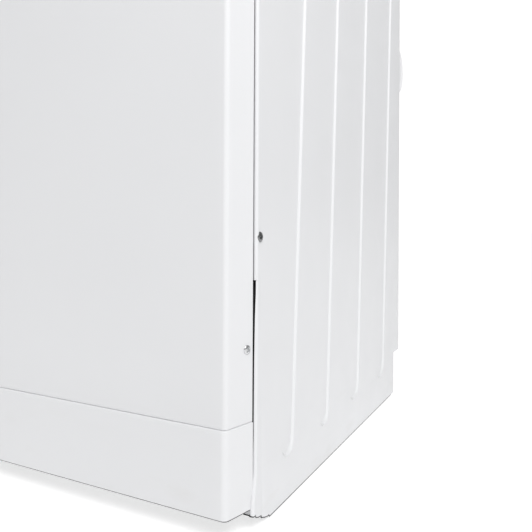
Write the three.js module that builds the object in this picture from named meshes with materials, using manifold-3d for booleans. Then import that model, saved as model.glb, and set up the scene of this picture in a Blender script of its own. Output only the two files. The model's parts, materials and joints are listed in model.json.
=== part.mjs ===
import * as THREE from 'three';
import Module from 'manifold-3d';
import { mergeVertices } from 'three/addons/utils/BufferGeometryUtils.js';

const wasm = await Module();
wasm.setup();

// Driving sizes in millimetres. Z is up, the front faces -Y, X = 0 is the middle of the cabinet.
const bodyWidth = 381;
const bodyDepth = 606;
const bodyHeight = 864;
const sheet = 1.5;
const gap = 0.4;

// Floor line: feet, side panels and plinth end at different heights.
const sideBottom = 3;
const plinthBottom = 24;
const plinthHeight = 85.4;
const seam = 1.4;

// The front is narrower than the cabinet and its side returns flare outward.
const cornerInset = 13.2;
const returnOut = 9.2;
const returnDepth = 36.8;
const frontWall = 2;

// Side panels: pressed grooves, rear notch and relief slot.
const grooveDepth = 4;
const grooveStarts = [97.5, 208.5, 325.5, 460];
const grooveEndWidths = [23, 27, 33, 36];
const grooveTaper = 0.059;
const grooveRise = 26;
const grooveTopMargin = 58;
const toeRise = 15.5;
const notchDepth = 37;
const notchHeight = 72;
const sideScrewDepth = 45.8;
const sideScrewHead = 4.3;
const sideScrewRise = 271.5;
const bumperReach = 30;
const bumperRadius = 40;
const bumperRise = 573;

// Drawer, bin and runners.
const drawerTravel = 400;
const binWall = 2.5;
const binFront = 66;
const binRear = 470;
const rollerRadius = 12;

// Ram drive: two screws turned by one belt.
const screwRadius = 8;
const screwInset = 27.5;
const screwDepth = 275;
const screwPulleyRadius = 14;
const motorPulleyRadius = 9;
const motorRadius = 46;
const motorDepth = 532;

const handleReach = 42;
const panelHeight = 66;
const topLip = 24;

// Sizes that follow from the ones above.
const half = bodyWidth / 2;
const frontY = -(bodyDepth + bumperReach - handleReach) / 2;
const cornerX = half - cornerInset;
const returnX = cornerX + returnOut;
const plinthTop = plinthBottom + plinthHeight;
const drawerBottom = plinthTop + seam;
const sideTop = bodyHeight - topLip - gap;
const controlTop = sideTop - 1.2;
const controlBottom = controlTop - panelHeight;
const drawerTop = controlBottom - 4;
const baseHalf = half - 7.5;
const screwX = half - screwInset;
const railOuter = screwX - screwRadius - 3;
const railInner = railOuter - 14;
const slideOuter = railInner - 1.5;
const panOuter = slideOuter - 2.5;
const binHalf = panOuter - 6;
const panFloor = drawerBottom + 2;
const binFloor = panFloor + 5;
const trackLow = panFloor + 17;
const beamTop = sideTop - 2;
const beamBottom = beamTop - 24;
const carrierTop = beamBottom - 10;
const carrierBottom = carrierTop - 30;
const rimZ = (carrierBottom + binFloor + 46) / 2;
const ramTravel = carrierBottom - rimZ - 12;
const plateBottom = rimZ + 12;
const binMiddle = (binFront + binRear) / 2;

// Distance behind the front face turned into a Y position.
function at(depth) {
  return frontY + depth;
}

function solid(geometry) {
  const bare = geometry.clone();
  bare.deleteAttribute('normal');
  bare.deleteAttribute('uv');
  const merged = mergeVertices(bare, 1e-4);
  return new wasm.Manifold(new wasm.Mesh({
    numProp: 3,
    vertProperties: Float32Array.from(merged.attributes.position.array),
    triVerts: Uint32Array.from(merged.index.array),
  }));
}

// Box between two corners; y is given as depth behind the front face.
function box(x0, x1, y0, y1, z0, z1) {
  const geometry = new THREE.BoxGeometry(x1 - x0, y1 - y0, z1 - z0);
  geometry.translate((x0 + x1) / 2, at((y0 + y1) / 2), (z0 + z1) / 2);
  return solid(geometry);
}

// Round bar along one axis, from its start point.
function rod(axis, x, y, z, radius, length, sides = 24) {
  const geometry = new THREE.CylinderGeometry(radius, radius, length, sides);
  geometry.translate(0, length / 2, 0);
  if (axis === 'x') geometry.rotateZ(-Math.PI / 2);
  if (axis === 'z') geometry.rotateX(Math.PI / 2);
  geometry.translate(x, at(y), z);
  return solid(geometry);
}

// Turned piece: profile of [radius, height] pairs, standing on its start point.
function turned(axis, x, y, z, profile, sides = 28) {
  const points = profile.map(([r, h]) => new THREE.Vector2(r, h));
  const geometry = new THREE.LatheGeometry(points, sides);
  if (axis === 'x') geometry.rotateZ(-Math.PI / 2);
  if (axis === 'z') geometry.rotateX(Math.PI / 2);
  if (axis === '-y') geometry.rotateX(Math.PI);
  geometry.translate(x, at(y), z);
  return solid(geometry);
}

function hollow(outer, ...cuts) {
  return cuts.reduce((body, cut) => body.subtract(cut), outer);
}

function joined(first, ...others) {
  return others.reduce((body, other) => body.add(other), first);
}

function mirrored(body) {
  return body.mirror([1, 0, 0]);
}

// Flat outline in plan, [x, depth] pairs, raised between two heights.
function plan(outline, z0, z1) {
  const shape = new THREE.Shape(outline.map(([x, y]) => new THREE.Vector2(x, at(y))));
  const geometry = new THREE.ExtrudeGeometry(shape, { depth: z1 - z0, bevelEnabled: false });
  geometry.translate(0, 0, z0);
  return solid(geometry);
}

// Sheet bent along an open line: the line is one face, the other lies to its left.
function bentStrip(line, thickness) {
  const normals = line.slice(1).map(([x, y], i) => {
    const dx = x - line[i][0];
    const dy = y - line[i][1];
    const length = Math.hypot(dx, dy);
    return [-dy / length, dx / length];
  });
  const inner = line.map(([x, y], i) => {
    const a = normals[Math.max(i - 1, 0)];
    const b = normals[Math.min(i, normals.length - 1)];
    const scale = thickness / (1 + a[0] * b[0] + a[1] * b[1]);
    return [x + (a[0] + b[0]) * scale, y + (a[1] + b[1]) * scale];
  });
  return [...line, ...inner.reverse()];
}

// Solid between two matching rings of points.
function loft(ringA, ringB) {
  const count = ringA.length;
  const flat = ringA.map(([, y, z]) => new THREE.Vector2(y, z));
  const caps = THREE.ShapeUtils.triangulateShape(flat, []);
  const index = [];
  for (const [a, b, c] of caps) {
    index.push(a, b, c, count + c, count + b, count + a);
  }
  for (let i = 0; i < count; i += 1) {
    const j = (i + 1) % count;
    index.push(i, count + i, count + j, i, count + j, j);
  }
  const geometry = new THREE.BufferGeometry();
  geometry.setAttribute('position', new THREE.Float32BufferAttribute([...ringA, ...ringB].flat(), 3));
  geometry.setIndex(index);
  return solid(geometry);
}

// Tapered groove outline with round ends at one X; grow pushes every wall outward.
function grooveRing(x, start, endWidth, growFront, growRear) {
  const bottom = plinthBottom + grooveRise - Math.min(growFront, growRear);
  const top = sideTop - grooveTopMargin;
  const topWidth = endWidth + grooveTaper * (top - bottom);
  const ring = [];
  const steps = 8;
  const low = (endWidth + growFront + growRear) / 2;
  const high = (topWidth + growFront + growRear) / 2;
  for (let i = 0; i <= steps; i += 1) {
    const angle = Math.PI * (1 + i / steps);
    const middle = start - growFront + low;
    ring.push([x, at(middle + low * Math.cos(angle)), bottom + low + low * Math.sin(angle)]);
  }
  for (let i = 0; i <= steps; i += 1) {
    const angle = Math.PI * i / steps;
    const middle = start - growFront + high;
    ring.push([x, at(middle + high * Math.cos(angle)), top - high + high * Math.sin(angle)]);
  }
  return ring;
}

function groove(outerX, innerX, start, endWidth, grow) {
  const wide = grooveRing(outerX, start, endWidth, grow, grow);
  const narrow = grooveRing(innerX, start, endWidth, grow - 1.5, grow - 4);
  return loft(wide, narrow);
}

const materials = {};
function material(name, color, roughness, metalness) {
  materials[name] = new THREE.MeshStandardMaterial({ name, color, roughness, metalness });
}
material('whiteEnamel', 0xeceeee, 0.32, 0.0);
material('whitePlastic', 0xe6e8e8, 0.45, 0.0);
material('greyPlastic', 0x8d9295, 0.55, 0.0);
material('darkPlastic', 0x2b2d30, 0.5, 0.0);
material('galvanised', 0xb4b9bc, 0.45, 0.8);
material('screwSteel', 0x8a8d90, 0.3, 0.9);
material('brightSteel', 0xc8cacc, 0.22, 0.95);
material('castIron', 0x3c3f42, 0.6, 0.6);
material('bronze', 0xb08a4a, 0.4, 0.8);
material('rubber', 0x1c1c1d, 0.9, 0.0);
material('charcoal', 0x242526, 0.95, 0.0);
material('amberLens', 0xd98a2b, 0.15, 0.0);
material('greenPlastic', 0x3f8f57, 0.4, 0.0);
material('redPlastic', 0xa93a32, 0.4, 0.0);

const group = new THREE.Group();
group.name = 'trash_compactor';
function piece(name, materialName, body) {
  const result = body.getMesh();
  const geometry = new THREE.BufferGeometry();
  geometry.setAttribute('position', new THREE.BufferAttribute(Float32Array.from(result.vertProperties), 3));
  geometry.setIndex(new THREE.BufferAttribute(Uint32Array.from(result.triVerts), 1));
  geometry.computeVertexNormals();
  const mesh = new THREE.Mesh(geometry, materials[materialName]);
  mesh.name = name;
  group.add(mesh);
}
function pair(name, materialName, body) {
  piece(`${name}_right`, materialName, body);
  piece(`${name}_left`, materialName, mirrored(body));
}

// ---------- cabinet ----------

// Plan line of a front cover: returns flare out from small round corners.
function frontLine(inset) {
  const corner = cornerX - inset * 1.2;
  const end = returnX - inset;
  const rightHalf = [
    [corner - 5, inset],
    [corner - 2.2, inset + 0.4],
    [corner - 0.4, inset + 1.6],
    [corner + 0.5, inset + 3.8],
    [end, returnDepth],
  ];
  const leftHalf = rightHalf.map(([x, y]) => [-x, y]).reverse();
  return [...leftHalf, ...rightHalf];
}

function frontShell(z0, z1, lip) {
  const outer = plan(frontLine(0), z0, z1);
  const room = plan([...frontLine(frontWall), [returnX - frontWall, returnDepth + 1],
    [-returnX + frontWall, returnDepth + 1]], z0 + frontWall, z1 - frontWall);
  const mouth = plan([...frontLine(lip).map(([x, y]) => [x, Math.min(y, returnDepth)]),
    [returnX - lip, returnDepth + 1], [-returnX + lip, returnDepth + 1]], z0 - 1, z1 + 1);
  return hollow(outer, room, mouth);
}

function sidePanel() {
  const line = [
    [returnX - 12, 41],
    [half - 5.4, 41],
    [half - 4.3, 38.6],
    [half - 2.6, 37.2],
    [half - 0.9, 38.2],
    [half, 41.5],
    [half, bodyDepth - 3],
    [half - 1, bodyDepth - 0.9],
    [half - 3, bodyDepth],
    [half - 16, bodyDepth],
  ];
  let body = plan(bentStrip(line, sheet), sideBottom, sideTop);
  grooveStarts.forEach((start, i) => {
    const pad = groove(half - sheet / 2, half - grooveDepth - sheet, start, grooveEndWidths[i], sheet);
    body = body.add(pad);
  });
  grooveStarts.forEach((start, i) => {
    body = body.subtract(groove(half + gap, half - grooveDepth, start, grooveEndWidths[i], 0));
  });
  const notch = box(half - 30, half + 5, bodyDepth - notchDepth, bodyDepth + 5, 0, sideBottom + notchHeight);
  const low = plinthBottom;
  // Relief slot: wide at its square top, narrow in the middle, tapering out low down.
  const slotEdge = [[55, -4.7], [96, -3.2], [144, -2.8], [150, -4.0], [204, -4.0], [208, -2.6], [228, -2.6]];
  const slotShape = [[half - 8, low + 55], ...slotEdge.map(([z, x]) => [half + x, low + z]),
    [half - 8, low + 228]];
  const shape = new THREE.Shape(slotShape.map(([x, z]) => new THREE.Vector2(x, z)));
  const slot = new THREE.ExtrudeGeometry(shape, { depth: 12, bevelEnabled: false });
  slot.rotateX(Math.PI / 2);
  slot.translate(0, at(46), 0);
  // The lower front corner is cut away on a slant.
  const toe = new THREE.Shape([[30, sideBottom - 1], [66, sideBottom - 1], [64, sideBottom],
    [30, sideBottom + toeRise]].map(([y, z]) => new THREE.Vector2(at(y), z)));
  const toeCut = new THREE.ExtrudeGeometry(toe, { depth: 40, bevelEnabled: false });
  toeCut.rotateX(Math.PI / 2);
  toeCut.rotateZ(Math.PI / 2);
  toeCut.translate(half - 30, 0, 0);
  const screwHole = rod('x', half - 6, sideScrewDepth, plinthBottom + sideScrewRise, 2.4, 12, 24);
  return hollow(body, notch, solid(slot), solid(toeCut), screwHole);
}
pair('side_panel', 'whiteEnamel', sidePanel());

// Top panel: a pressed lid with a turned-down lip and softened edges.
function topPanel() {
  const lid = joined(
    box(-half, half, 3, bodyDepth, bodyHeight - topLip, bodyHeight - 4),
    box(-half + 4, half - 4, 7, bodyDepth - 4, bodyHeight - 4.2, bodyHeight),
  );
  const edges = plan([[-half, 6], [-half + 3, 3], [half - 3, 3], [half, 6], [half, bodyDepth - 3],
    [half - 3, bodyDepth], [-half + 3, bodyDepth], [-half, bodyDepth - 3]], bodyHeight - topLip, bodyHeight);
  const inside = box(-half + 3, half - 3, 6, bodyDepth - 3, bodyHeight - topLip - 1, bodyHeight - 6.2);
  const crown = loftRect(bodyHeight - 4, bodyHeight);
  return hollow(lid.add(crown).intersect(edges), inside);
}

// Four sloping top edges as one frustum.
function loftRect(z0, z1) {
  const geometry = new THREE.CylinderGeometry(Math.SQRT1_2, Math.SQRT1_2, 1, 4);
  geometry.rotateX(Math.PI / 2);
  geometry.rotateZ(Math.PI / 4);
  const position = geometry.attributes.position;
  for (let i = 0; i < position.count; i += 1) {
    const inset = position.getZ(i) > 0 ? 4 : 0;
    const x = Math.sign(Math.round(position.getX(i) * 4)) * (half - inset);
    const side = Math.sign(Math.round(position.getY(i) * 4));
    const y = at((bodyDepth + 3) / 2) + side * ((bodyDepth - 3) / 2 - inset);
    position.setXYZ(i, x, y, position.getZ(i) > 0 ? z1 : z0);
  }
  return solid(geometry);
}
piece('top_panel', 'whiteEnamel', topPanel());

// Rear panel with louvre slots and a hole for the cord inlet.
function rearPanel() {
  const edge = half - 4;
  let body = joined(
    box(-edge, edge, bodyDepth - 5, bodyDepth - 5 + sheet, sideBottom + notchHeight + 6, sideTop - 1),
    box(-edge, edge, bodyDepth - 14, bodyDepth - 5 + sheet, sideTop - 2.5, sideTop - 1),
  );
  for (let row = 0; row < 7; row += 1) {
    const z = bodyHeight - 190 + row * 12;
    body = body.subtract(box(-100, 100, bodyDepth - 8, bodyDepth, z, z + 5));
  }
  for (let row = 0; row < 6; row += 1) {
    const z = plinthTop + 80 + row * 12;
    body = body.subtract(box(-70, 70, bodyDepth - 8, bodyDepth, z, z + 5));
  }
  return body.subtract(rod('y', -110, bodyDepth - 12, plinthTop + 45, 10.4, 20));
}
piece('rear_panel', 'galvanised', rearPanel());

// Half-round bumpers that keep the cabinet off the wall.
function rearBumper() {
  const z = plinthBottom + bumperRise;
  const disc = joined(
    rod('x', half - 15, bodyDepth, z, bumperRadius * 0.75, 12, 28),
    rod('x', half - 13.5, bodyDepth, z, bumperRadius * 0.75 - 4, 12, 28),
  );
  const rim = hollow(disc, rod('x', half - 16, bodyDepth, z, bumperRadius * 0.75 - 8, 6, 28));
  const stretched = rim.translate([0, -at(bodyDepth), -z]).scale([1, 1, bumperRadius / 30])
    .translate([0, at(bodyDepth), z]);
  return stretched.intersect(box(0, half, bodyDepth + gap, bodyDepth + 60, 0, bodyHeight));
}
pair('rear_bumper', 'whitePlastic', rearBumper());

// Plinth: the lowest front cover, with a folded top edge and clipped rear corners.
function kickPlate() {
  const clip = new THREE.Shape([[returnDepth - 8, plinthBottom - 1], [returnDepth + 2, plinthBottom - 1],
    [returnDepth + 2, plinthBottom + 7]].map(([y, z]) => new THREE.Vector2(at(y), z)));
  const cut = new THREE.ExtrudeGeometry(clip, { depth: bodyWidth, bevelEnabled: false });
  cut.rotateX(Math.PI / 2);
  cut.rotateZ(Math.PI / 2);
  cut.translate(-half, 0, 0);
  return hollow(frontShell(plinthBottom, plinthTop, 12), solid(cut));
}
piece('kick_plate', 'whiteEnamel', kickPlate());

// Base tray: floor with raised sides and a bearing cup under each screw.
function baseTray() {
  const floor = plinthBottom + 4;
  const rear = bodyDepth - notchDepth - 6;
  const tray = hollow(
    box(-baseHalf, baseHalf, 60, rear, floor, plinthTop - 10),
    box(-baseHalf + 2, baseHalf - 2, 62, rear - 2, floor + 2, plinthTop),
    box(-baseHalf + 60, baseHalf - 60, 40, rear + 10, floor + 40, plinthTop),
  );
  let body = tray;
  for (const x of [-1, 1]) {
    body = body.add(rod('z', x * screwX, screwDepth, floor, 12, 12, 28));
    body = body.subtract(rod('z', x * screwX, screwDepth, floor + 3, screwRadius + gap, 30, 24));
    for (const y of [92, rear - 36]) {
      body = body.subtract(rod('z', x * (baseHalf - 20), y, floor - 5, 6.4, 20));
    }
  }
  return body;
}
piece('base_tray', 'galvanised', baseTray());

piece('front_crossmember', 'galvanised', hollow(
  box(-baseHalf, baseHalf, 44, 58, plinthBottom + 4, plinthTop - 6),
  box(-baseHalf + 8, baseHalf - 8, 45.5, 60, plinthBottom + 6, plinthTop - 8),
));

// Levelling feet: a pad with a stem that passes through the tray floor and a collar under it.
const footRear = bodyDepth - notchDepth - 42;
function foot(y) {
  const profile = [[0, 0], [17, 0], [18, 1.5], [18, 6], [9, 12], [9, plinthBottom + 3.4],
    [6, plinthBottom + 3.4], [6, plinthBottom + 20], [0, plinthBottom + 20]];
  return turned('z', baseHalf - 20, y, 0, profile, 24);
}
pair('foot_front', 'rubber', foot(92));
pair('foot_rear', 'rubber', foot(footRear));

// Control panel across the top of the front.
const buttonZ = (controlBottom + controlTop) / 2;
const startX = 70;
const stopX = 110;
const keyX = -95;
const lampX = 20;
function controlPanel() {
  const shell = frontShell(controlBottom, controlTop, 12);
  return hollow(shell,
    rod('y', startX, -5, buttonZ, 11.5, 20, 28),
    rod('y', stopX, -5, buttonZ, 11.5, 20, 28),
    rod('y', keyX, -5, buttonZ, 7.4, 20, 24),
    rod('y', lampX, -5, buttonZ, 6.4, 20, 24));
}
piece('control_panel', 'whitePlastic', controlPanel());

piece('control_housing', 'darkPlastic', hollow(
  box(-returnX + 20, returnX - 20, 22, 84, controlBottom + 4, controlTop - 4),
  box(-returnX + 22, returnX - 22, 24, 90, controlBottom + 6, controlTop - 6),
  rod('y', keyX, 10, buttonZ, 5.4, 20, 28),
  rod('y', startX, 10, buttonZ, 5.4, 20, 28),
  rod('y', stopX, 10, buttonZ, 5.4, 20, 28),
));

function button(x) {
  return turned('y', x, -4, buttonZ, [[0, 0], [9.6, 0], [11, 1.4], [11, 12], [5, 12], [5, 32], [0, 32]], 28);
}
piece('start_button', 'greenPlastic', button(startX));
piece('stop_button', 'redPlastic', button(stopX));

piece('key_knob', 'greyPlastic', joined(
  turned('y', keyX, -14, buttonZ, [[0, 0], [14, 0], [15.5, 1.5], [16.5, 12], [16.5, 13.4], [7, 13.4],
    [7, 18], [5, 18], [5, 36], [0, 36]], 28),
  box(keyX - 2.5, keyX + 2.5, -19, -13, buttonZ - 14, buttonZ + 14),
));
piece('status_lamp', 'amberLens',
  turned('y', lampX, -1.5, buttonZ, [[0, 0], [4, 0.4], [6, 1.8], [6, 10], [0, 10]], 28));

// Fixed runner on each side, standing on the tray; the window lets the belt and screw through.
const webLow = plinthBottom + 6.4;
const trackHigh = trackLow + 2 * rollerRadius + 9;
function fixedRail() {
  const run = [64, bodyDepth - notchDepth - 10];
  const web = box(railOuter, railOuter + 2, run[0], run[1], webLow, trackHigh + 2);
  const lower = box(railInner, railOuter + 1, run[0], run[1], trackLow - 2, trackLow);
  const upper = box(railInner, railOuter + 1, run[0], run[1], trackHigh, trackHigh + 2);
  const sole = box(railOuter - 10, railOuter + 1, run[0], run[1], webLow, webLow + 2);
  const spread = screwPulleyRadius + 8;
  const window = box(railOuter - 20, railOuter + 10, screwDepth - spread, screwDepth + spread + 90, webLow - 5,
    webLow + 44);
  const axle = joined(rod('x', railInner + 0.4, 78, trackLow + rollerRadius + gap, 3, 14.6, 24),
    rod('x', railInner + 0.4, 78, trackLow + rollerRadius + gap, 5, 1.7, 24));
  return hollow(joined(web, lower, upper, sole, axle), window);
}
pair('fixed_rail', 'galvanised', fixedRail());

const rollerZ = trackLow + rollerRadius + gap;
const rollerRearDepth = 512;
function roller(x, y) {
  return hollow(
    turned('x', x, y, rollerZ, [[0, 0], [rollerRadius - 1, 0], [rollerRadius, 1], [rollerRadius, 8],
      [rollerRadius - 1, 9], [0, 9]], 28),
    rod('x', x - 5, y, rollerZ, 3.4, 30, 24),
  );
}
pair('front_roller', 'whitePlastic', roller(railInner + 2.5, 78));

// Thrust beam between the side panels: it carries the screw tops in two bushings.
const bushing = (x) => rod('z', x, screwDepth, beamBottom, 15, 14, 24);
const beamHalf = half - sheet - gap;
piece('thrust_beam', 'galvanised', hollow(
  joined(hollow(
    box(-beamHalf, beamHalf, screwDepth - 26, screwDepth + 26, beamBottom, beamTop),
    box(-beamHalf + 2, beamHalf - 2, screwDepth - 23, screwDepth + 23, beamBottom + 3, beamTop + 5),
  ), bushing(screwX), bushing(-screwX)),
  rod('z', screwX, screwDepth, beamBottom - 5, screwRadius + gap, 40, 24),
  rod('z', -screwX, screwDepth, beamBottom - 5, screwRadius + gap, 40, 24),
));

// ---------- ram drive ----------
const beltLow = plinthBottom + 22;
const beltHeight = 12;
function powerScrew() {
  const bottom = plinthBottom + 7.6;
  const top = beamTop - 6;
  return turned('z', screwX, screwDepth, bottom, [[0, 0], [screwRadius - 1, 0], [screwRadius, 1],
    [screwRadius, top - bottom - 1], [screwRadius - 1, top - bottom], [0, top - bottom]], 24);
}
pair('power_screw', 'screwSteel', powerScrew());

function pulley(x, y, radius, bore, sides) {
  return hollow(
    turned('z', x, y, beltLow - 3, [[0, 0], [radius + 1, 0], [radius + 1, 2], [radius - 1.6, 2.4],
      [radius - 1.6, 15.6], [radius + 1, 16], [radius + 1, 18], [0, 18]], sides),
    rod('z', x, y, beltLow - 10, bore, 40, 24),
  );
}
pair('screw_pulley', 'castIron', pulley(screwX, screwDepth, screwPulleyRadius, screwRadius + gap / 2, 28));
const bridgeZ = plinthTop - 6;
piece('motor_pulley', 'castIron', joined(
  pulley(0, motorDepth, motorPulleyRadius, 2, 28),
  turned('z', 0, motorDepth, beltLow - 5, [[0, 0], [3.6, 0], [4, 0.6], [4, bridgeZ - beltLow + 30],
    [0, bridgeZ - beltLow + 30]], 28),
));

// Outline of a belt around the three pulleys, as arcs around each centre.
function beltOutline(offset) {
  const centres = [
    [screwX, screwDepth, screwPulleyRadius],
    [0, motorDepth, motorPulleyRadius],
    [-screwX, screwDepth, screwPulleyRadius],
  ];
  const tangents = centres.map(([x, y, r], i) => {
    const [x2, y2, r2] = centres[(i + 1) % 3];
    const angle = Math.atan2(y2 - y, x2 - x);
    return angle - Math.PI / 2 + Math.asin((r - r2) / Math.hypot(x2 - x, y2 - y)) * -1 + Math.PI;
  });
  const points = [];
  centres.forEach(([x, y, r], i) => {
    const before = tangents[(i + 2) % 3] + Math.PI;
    let after = tangents[i] + Math.PI;
    while (after < before) after += 2 * Math.PI;
    while (after - before > 2 * Math.PI) after -= 2 * Math.PI;
    const steps = 14;
    for (let k = 0; k <= steps; k += 1) {
      const angle = before + (after - before) * k / steps;
      points.push([x + (r + offset) * Math.cos(angle), y + (r + offset) * Math.sin(angle)]);
    }
  });
  return points;
}
piece('drive_belt', 'rubber', hollow(
  plan(beltOutline(1.1), beltLow, beltLow + beltHeight),
  plan(beltOutline(-1.1), beltLow - 1, beltLow + beltHeight + 1),
));

// Motor on a bridge over the rear of the tray, shaft down.
piece('motor_bridge', 'galvanised', hollow(
  joined(box(-78, 78, 484, 556, bridgeZ, bridgeZ + 3),
    box(-78, -75, 484, 556, webLow, bridgeZ + 1),
    box(75, 78, 484, 556, webLow, bridgeZ + 1),
    box(-90, -76, 484, 556, webLow, webLow + 3),
    box(76, 90, 484, 556, webLow, webLow + 3)),
  rod('z', 0, motorDepth, bridgeZ - 5, 9, 20, 24),
));
piece('motor', 'castIron', hollow(
  joined(turned('z', 0, motorDepth, bridgeZ + 3.4, [[0, 0], [motorRadius - 10, 0], [motorRadius - 10, 6],
    [motorRadius, 10], [motorRadius, 120], [motorRadius - 6, 128], [18, 132], [18, 140], [0, 140]], 28),
  box(motorRadius - 4, motorRadius + 12, motorDepth - 18, motorDepth + 18, bridgeZ + 50, bridgeZ + 100)),
  rod('z', 0, motorDepth, bridgeZ, 4.4, 30, 28),
));

// ---------- ram ----------
piece('ram_carrier', 'galvanised', hollow(
  joined(box(-screwX - 9, screwX + 9, screwDepth - 20, screwDepth + 20, carrierBottom, carrierTop)),
  box(-screwX - 20, screwX + 20, screwDepth - 17, screwDepth + 17, carrierBottom + 3, carrierTop - 3),
  rod('z', screwX, screwDepth, carrierBottom - 5, 12.4, 60, 28),
  rod('z', -screwX, screwDepth, carrierBottom - 5, 12.4, 60, 28),
));
function driveNut() {
  return hollow(
    joined(rod('z', screwX, screwDepth, carrierBottom - 7, 12, carrierTop - carrierBottom + 10, 24),
      rod('z', screwX, screwDepth, carrierBottom - 7, 15, 6.6, 24)),
    rod('z', screwX, screwDepth, carrierBottom - 20, screwRadius + gap, 80, 24),
  );
}
pair('drive_nut', 'bronze', driveNut());

const ramHalf = binHalf - 13;
const ramFront = binFront + 18;
const ramRear = binRear - 18;
const columnHalf = ramHalf - 36;
piece('ram_plate', 'castIron', hollow(
  joined(box(-ramHalf, ramHalf, ramFront, ramRear, plateBottom, plateBottom + 14)),
  box(-ramHalf + 4, ramHalf - 4, ramFront + 4, binMiddle - 80, plateBottom + 4, plateBottom + 20),
  box(-ramHalf + 4, ramHalf - 4, binMiddle + 80, ramRear - 4, plateBottom + 4, plateBottom + 20),
));
piece('ram_column', 'galvanised', hollow(
  box(-columnHalf, columnHalf, binMiddle - 70, binMiddle + 70, plateBottom + 14.4, carrierBottom - gap),
  box(-columnHalf + 2.5, columnHalf - 2.5, binMiddle - 67.5, binMiddle + 67.5, plateBottom + 17,
    carrierBottom - 3),
  box(-columnHalf + 20, columnHalf - 20, binMiddle - 90, binMiddle + 90, plateBottom + 60, carrierBottom - 40),
));

piece('top_limit_switch', 'darkPlastic', joined(
  box(-40, -14, screwDepth - 40, screwDepth - 26.4, beamBottom + 2, beamBottom + 20),
  box(-20, -16, screwDepth - 38, screwDepth - 30, beamBottom - 6, beamBottom + 4),
));

// ---------- odour filter at the top rear ----------
const filterLow = bodyHeight - 230;
const filterFront = binRear + 30;
piece('filter_housing', 'greyPlastic', hollow(
  box(-112, 112, filterFront, bodyDepth - 8, filterLow, filterLow + 130),
  box(-110, 4, filterFront + 4, bodyDepth, filterLow + 2, filterLow + 128),
  box(8, 110, filterFront + 4, bodyDepth, filterLow + 2, filterLow + 128),
  box(-98, -8, filterFront - 5, bodyDepth, filterLow + 14, filterLow + 116),
  rod('y', 59, filterFront - 5, filterLow + 65, 42, 20, 28),
));
piece('charcoal_filter', 'charcoal', box(-108, 2, filterFront + 5, filterFront + 30, filterLow + 4,
  filterLow + 126));
piece('fan_motor', 'darkPlastic', joined(
  turned('y', 59, bodyDepth - 42, filterLow + 65, [[0, 0], [18, 0], [18, 30], [0, 30]], 24),
  box(14, 104, bodyDepth - 16, bodyDepth - 12, filterLow + 57, filterLow + 73),
  box(10, 14.5, bodyDepth - 30, bodyDepth - 12, filterLow + 57, filterLow + 73),
  box(103.5, 108, bodyDepth - 30, bodyDepth - 12, filterLow + 57, filterLow + 73),
));
function fanWheel() {
  let body = turned('y', 59, filterFront + 12, filterLow + 65, [[0, 0], [12, 0], [13, 1], [13, 18], [0, 18]], 24);
  for (let i = 0; i < 7; i += 1) {
    const blade = new THREE.BoxGeometry(27, 1.6, 16);
    blade.rotateX(0.6);
    blade.translate(24, 0, 0);
    blade.rotateY(i * 2 * Math.PI / 7);
    blade.translate(59, at(filterFront + 21), filterLow + 65);
    body = body.add(solid(blade));
  }
  return body;
}
piece('fan_wheel', 'darkPlastic', fanWheel());

piece('cord_inlet', 'darkPlastic', hollow(
  joined(rod('y', -110, bodyDepth - 20, plinthTop + 45, 10, 24, 24),
    rod('y', -110, bodyDepth - 3.1, plinthTop + 45, 13, 3, 24),
    rod('y', -110, bodyDepth - 20, plinthTop + 45, 14, 14, 6)),
  rod('y', -110, bodyDepth - 30, plinthTop + 45, 4.5, 60, 28),
));

// ---------- drawer ----------
// Screw through each side return of the drawer front, square to the flared sheet.
const returnSlope = Math.atan2(returnOut, returnDepth);
function returnRod(profile) {
  const geometry = new THREE.LatheGeometry(profile.map(([r, h]) => new THREE.Vector2(r, h)), 24);
  geometry.rotateZ(-Math.PI / 2);
  geometry.rotateZ(-returnSlope);
  geometry.translate(cornerX + 31 * returnOut / returnDepth, at(31), plinthBottom + 160);
  return solid(geometry);
}
const returnHole = returnRod([[0, -8], [2.4, -8], [2.4, 4], [0, 4]]);
piece('drawer_front', 'whiteEnamel', hollow(frontShell(drawerBottom, drawerTop, 12), returnHole,
  mirrored(returnHole)));
piece('drawer_back_plate', 'galvanised', hollow(
  box(-returnX + 12, returnX - 12, returnDepth - 3, returnDepth + 3.4, drawerBottom + 3, drawerTop - 3),
  box(-returnX + 16, returnX - 16, returnDepth - 5, returnDepth + 1.9, drawerBottom + 7, drawerTop - 7),
));
pair('front_panel_screw', 'brightSteel', returnRod([[0, -7], [2, -7], [2, 0.6], [3.9, 0.6],
  [3.7, 1.5], [2.6, 2.5], [0, 2.8]]));
pair('side_panel_screw', 'screwSteel', turned('x', half, sideScrewDepth, plinthBottom + sideScrewRise,
  [[0, -6], [2, -6], [2, 0.35], [sideScrewHead, 0.35], [sideScrewHead - 0.3, 1.3],
    [sideScrewHead - 1.6, 2.2], [0, 2.5]], 28));

const panRear = binRear + 8;
piece('drawer_pan', 'galvanised', hollow(
  box(-panOuter, panOuter, returnDepth + 5, panRear, panFloor, panFloor + 80),
  box(-panOuter + 2.5, panOuter - 2.5, returnDepth + 7.5, panRear - 2.5, panFloor + 2.5, panFloor + 90),
  box(-panOuter + 40, panOuter - 40, panRear - 10, panRear + 10, panFloor + 30, panFloor + 90),
));
function movingRail() {
  const x0 = panOuter + gap;
  const z1 = trackLow + 2 * rollerRadius + 1.2;
  return hollow(
    joined(box(x0, x0 + 2, returnDepth + 6, 526, trackLow + 2, z1 + 1),
      box(x0, railOuter - 2.5, returnDepth + 6, 526, z1, z1 + 2),
      rod('x', x0 + 1, rollerRearDepth, rollerZ, 3, railInner + 13.2 - x0 - 1, 24),
      rod('x', railInner + 11.9, rollerRearDepth, rollerZ, 5, 1.5, 24)),
    box(x0 - 1, x0 + 3, returnDepth, 100, trackLow, trackLow + 2),
  );
}
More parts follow.
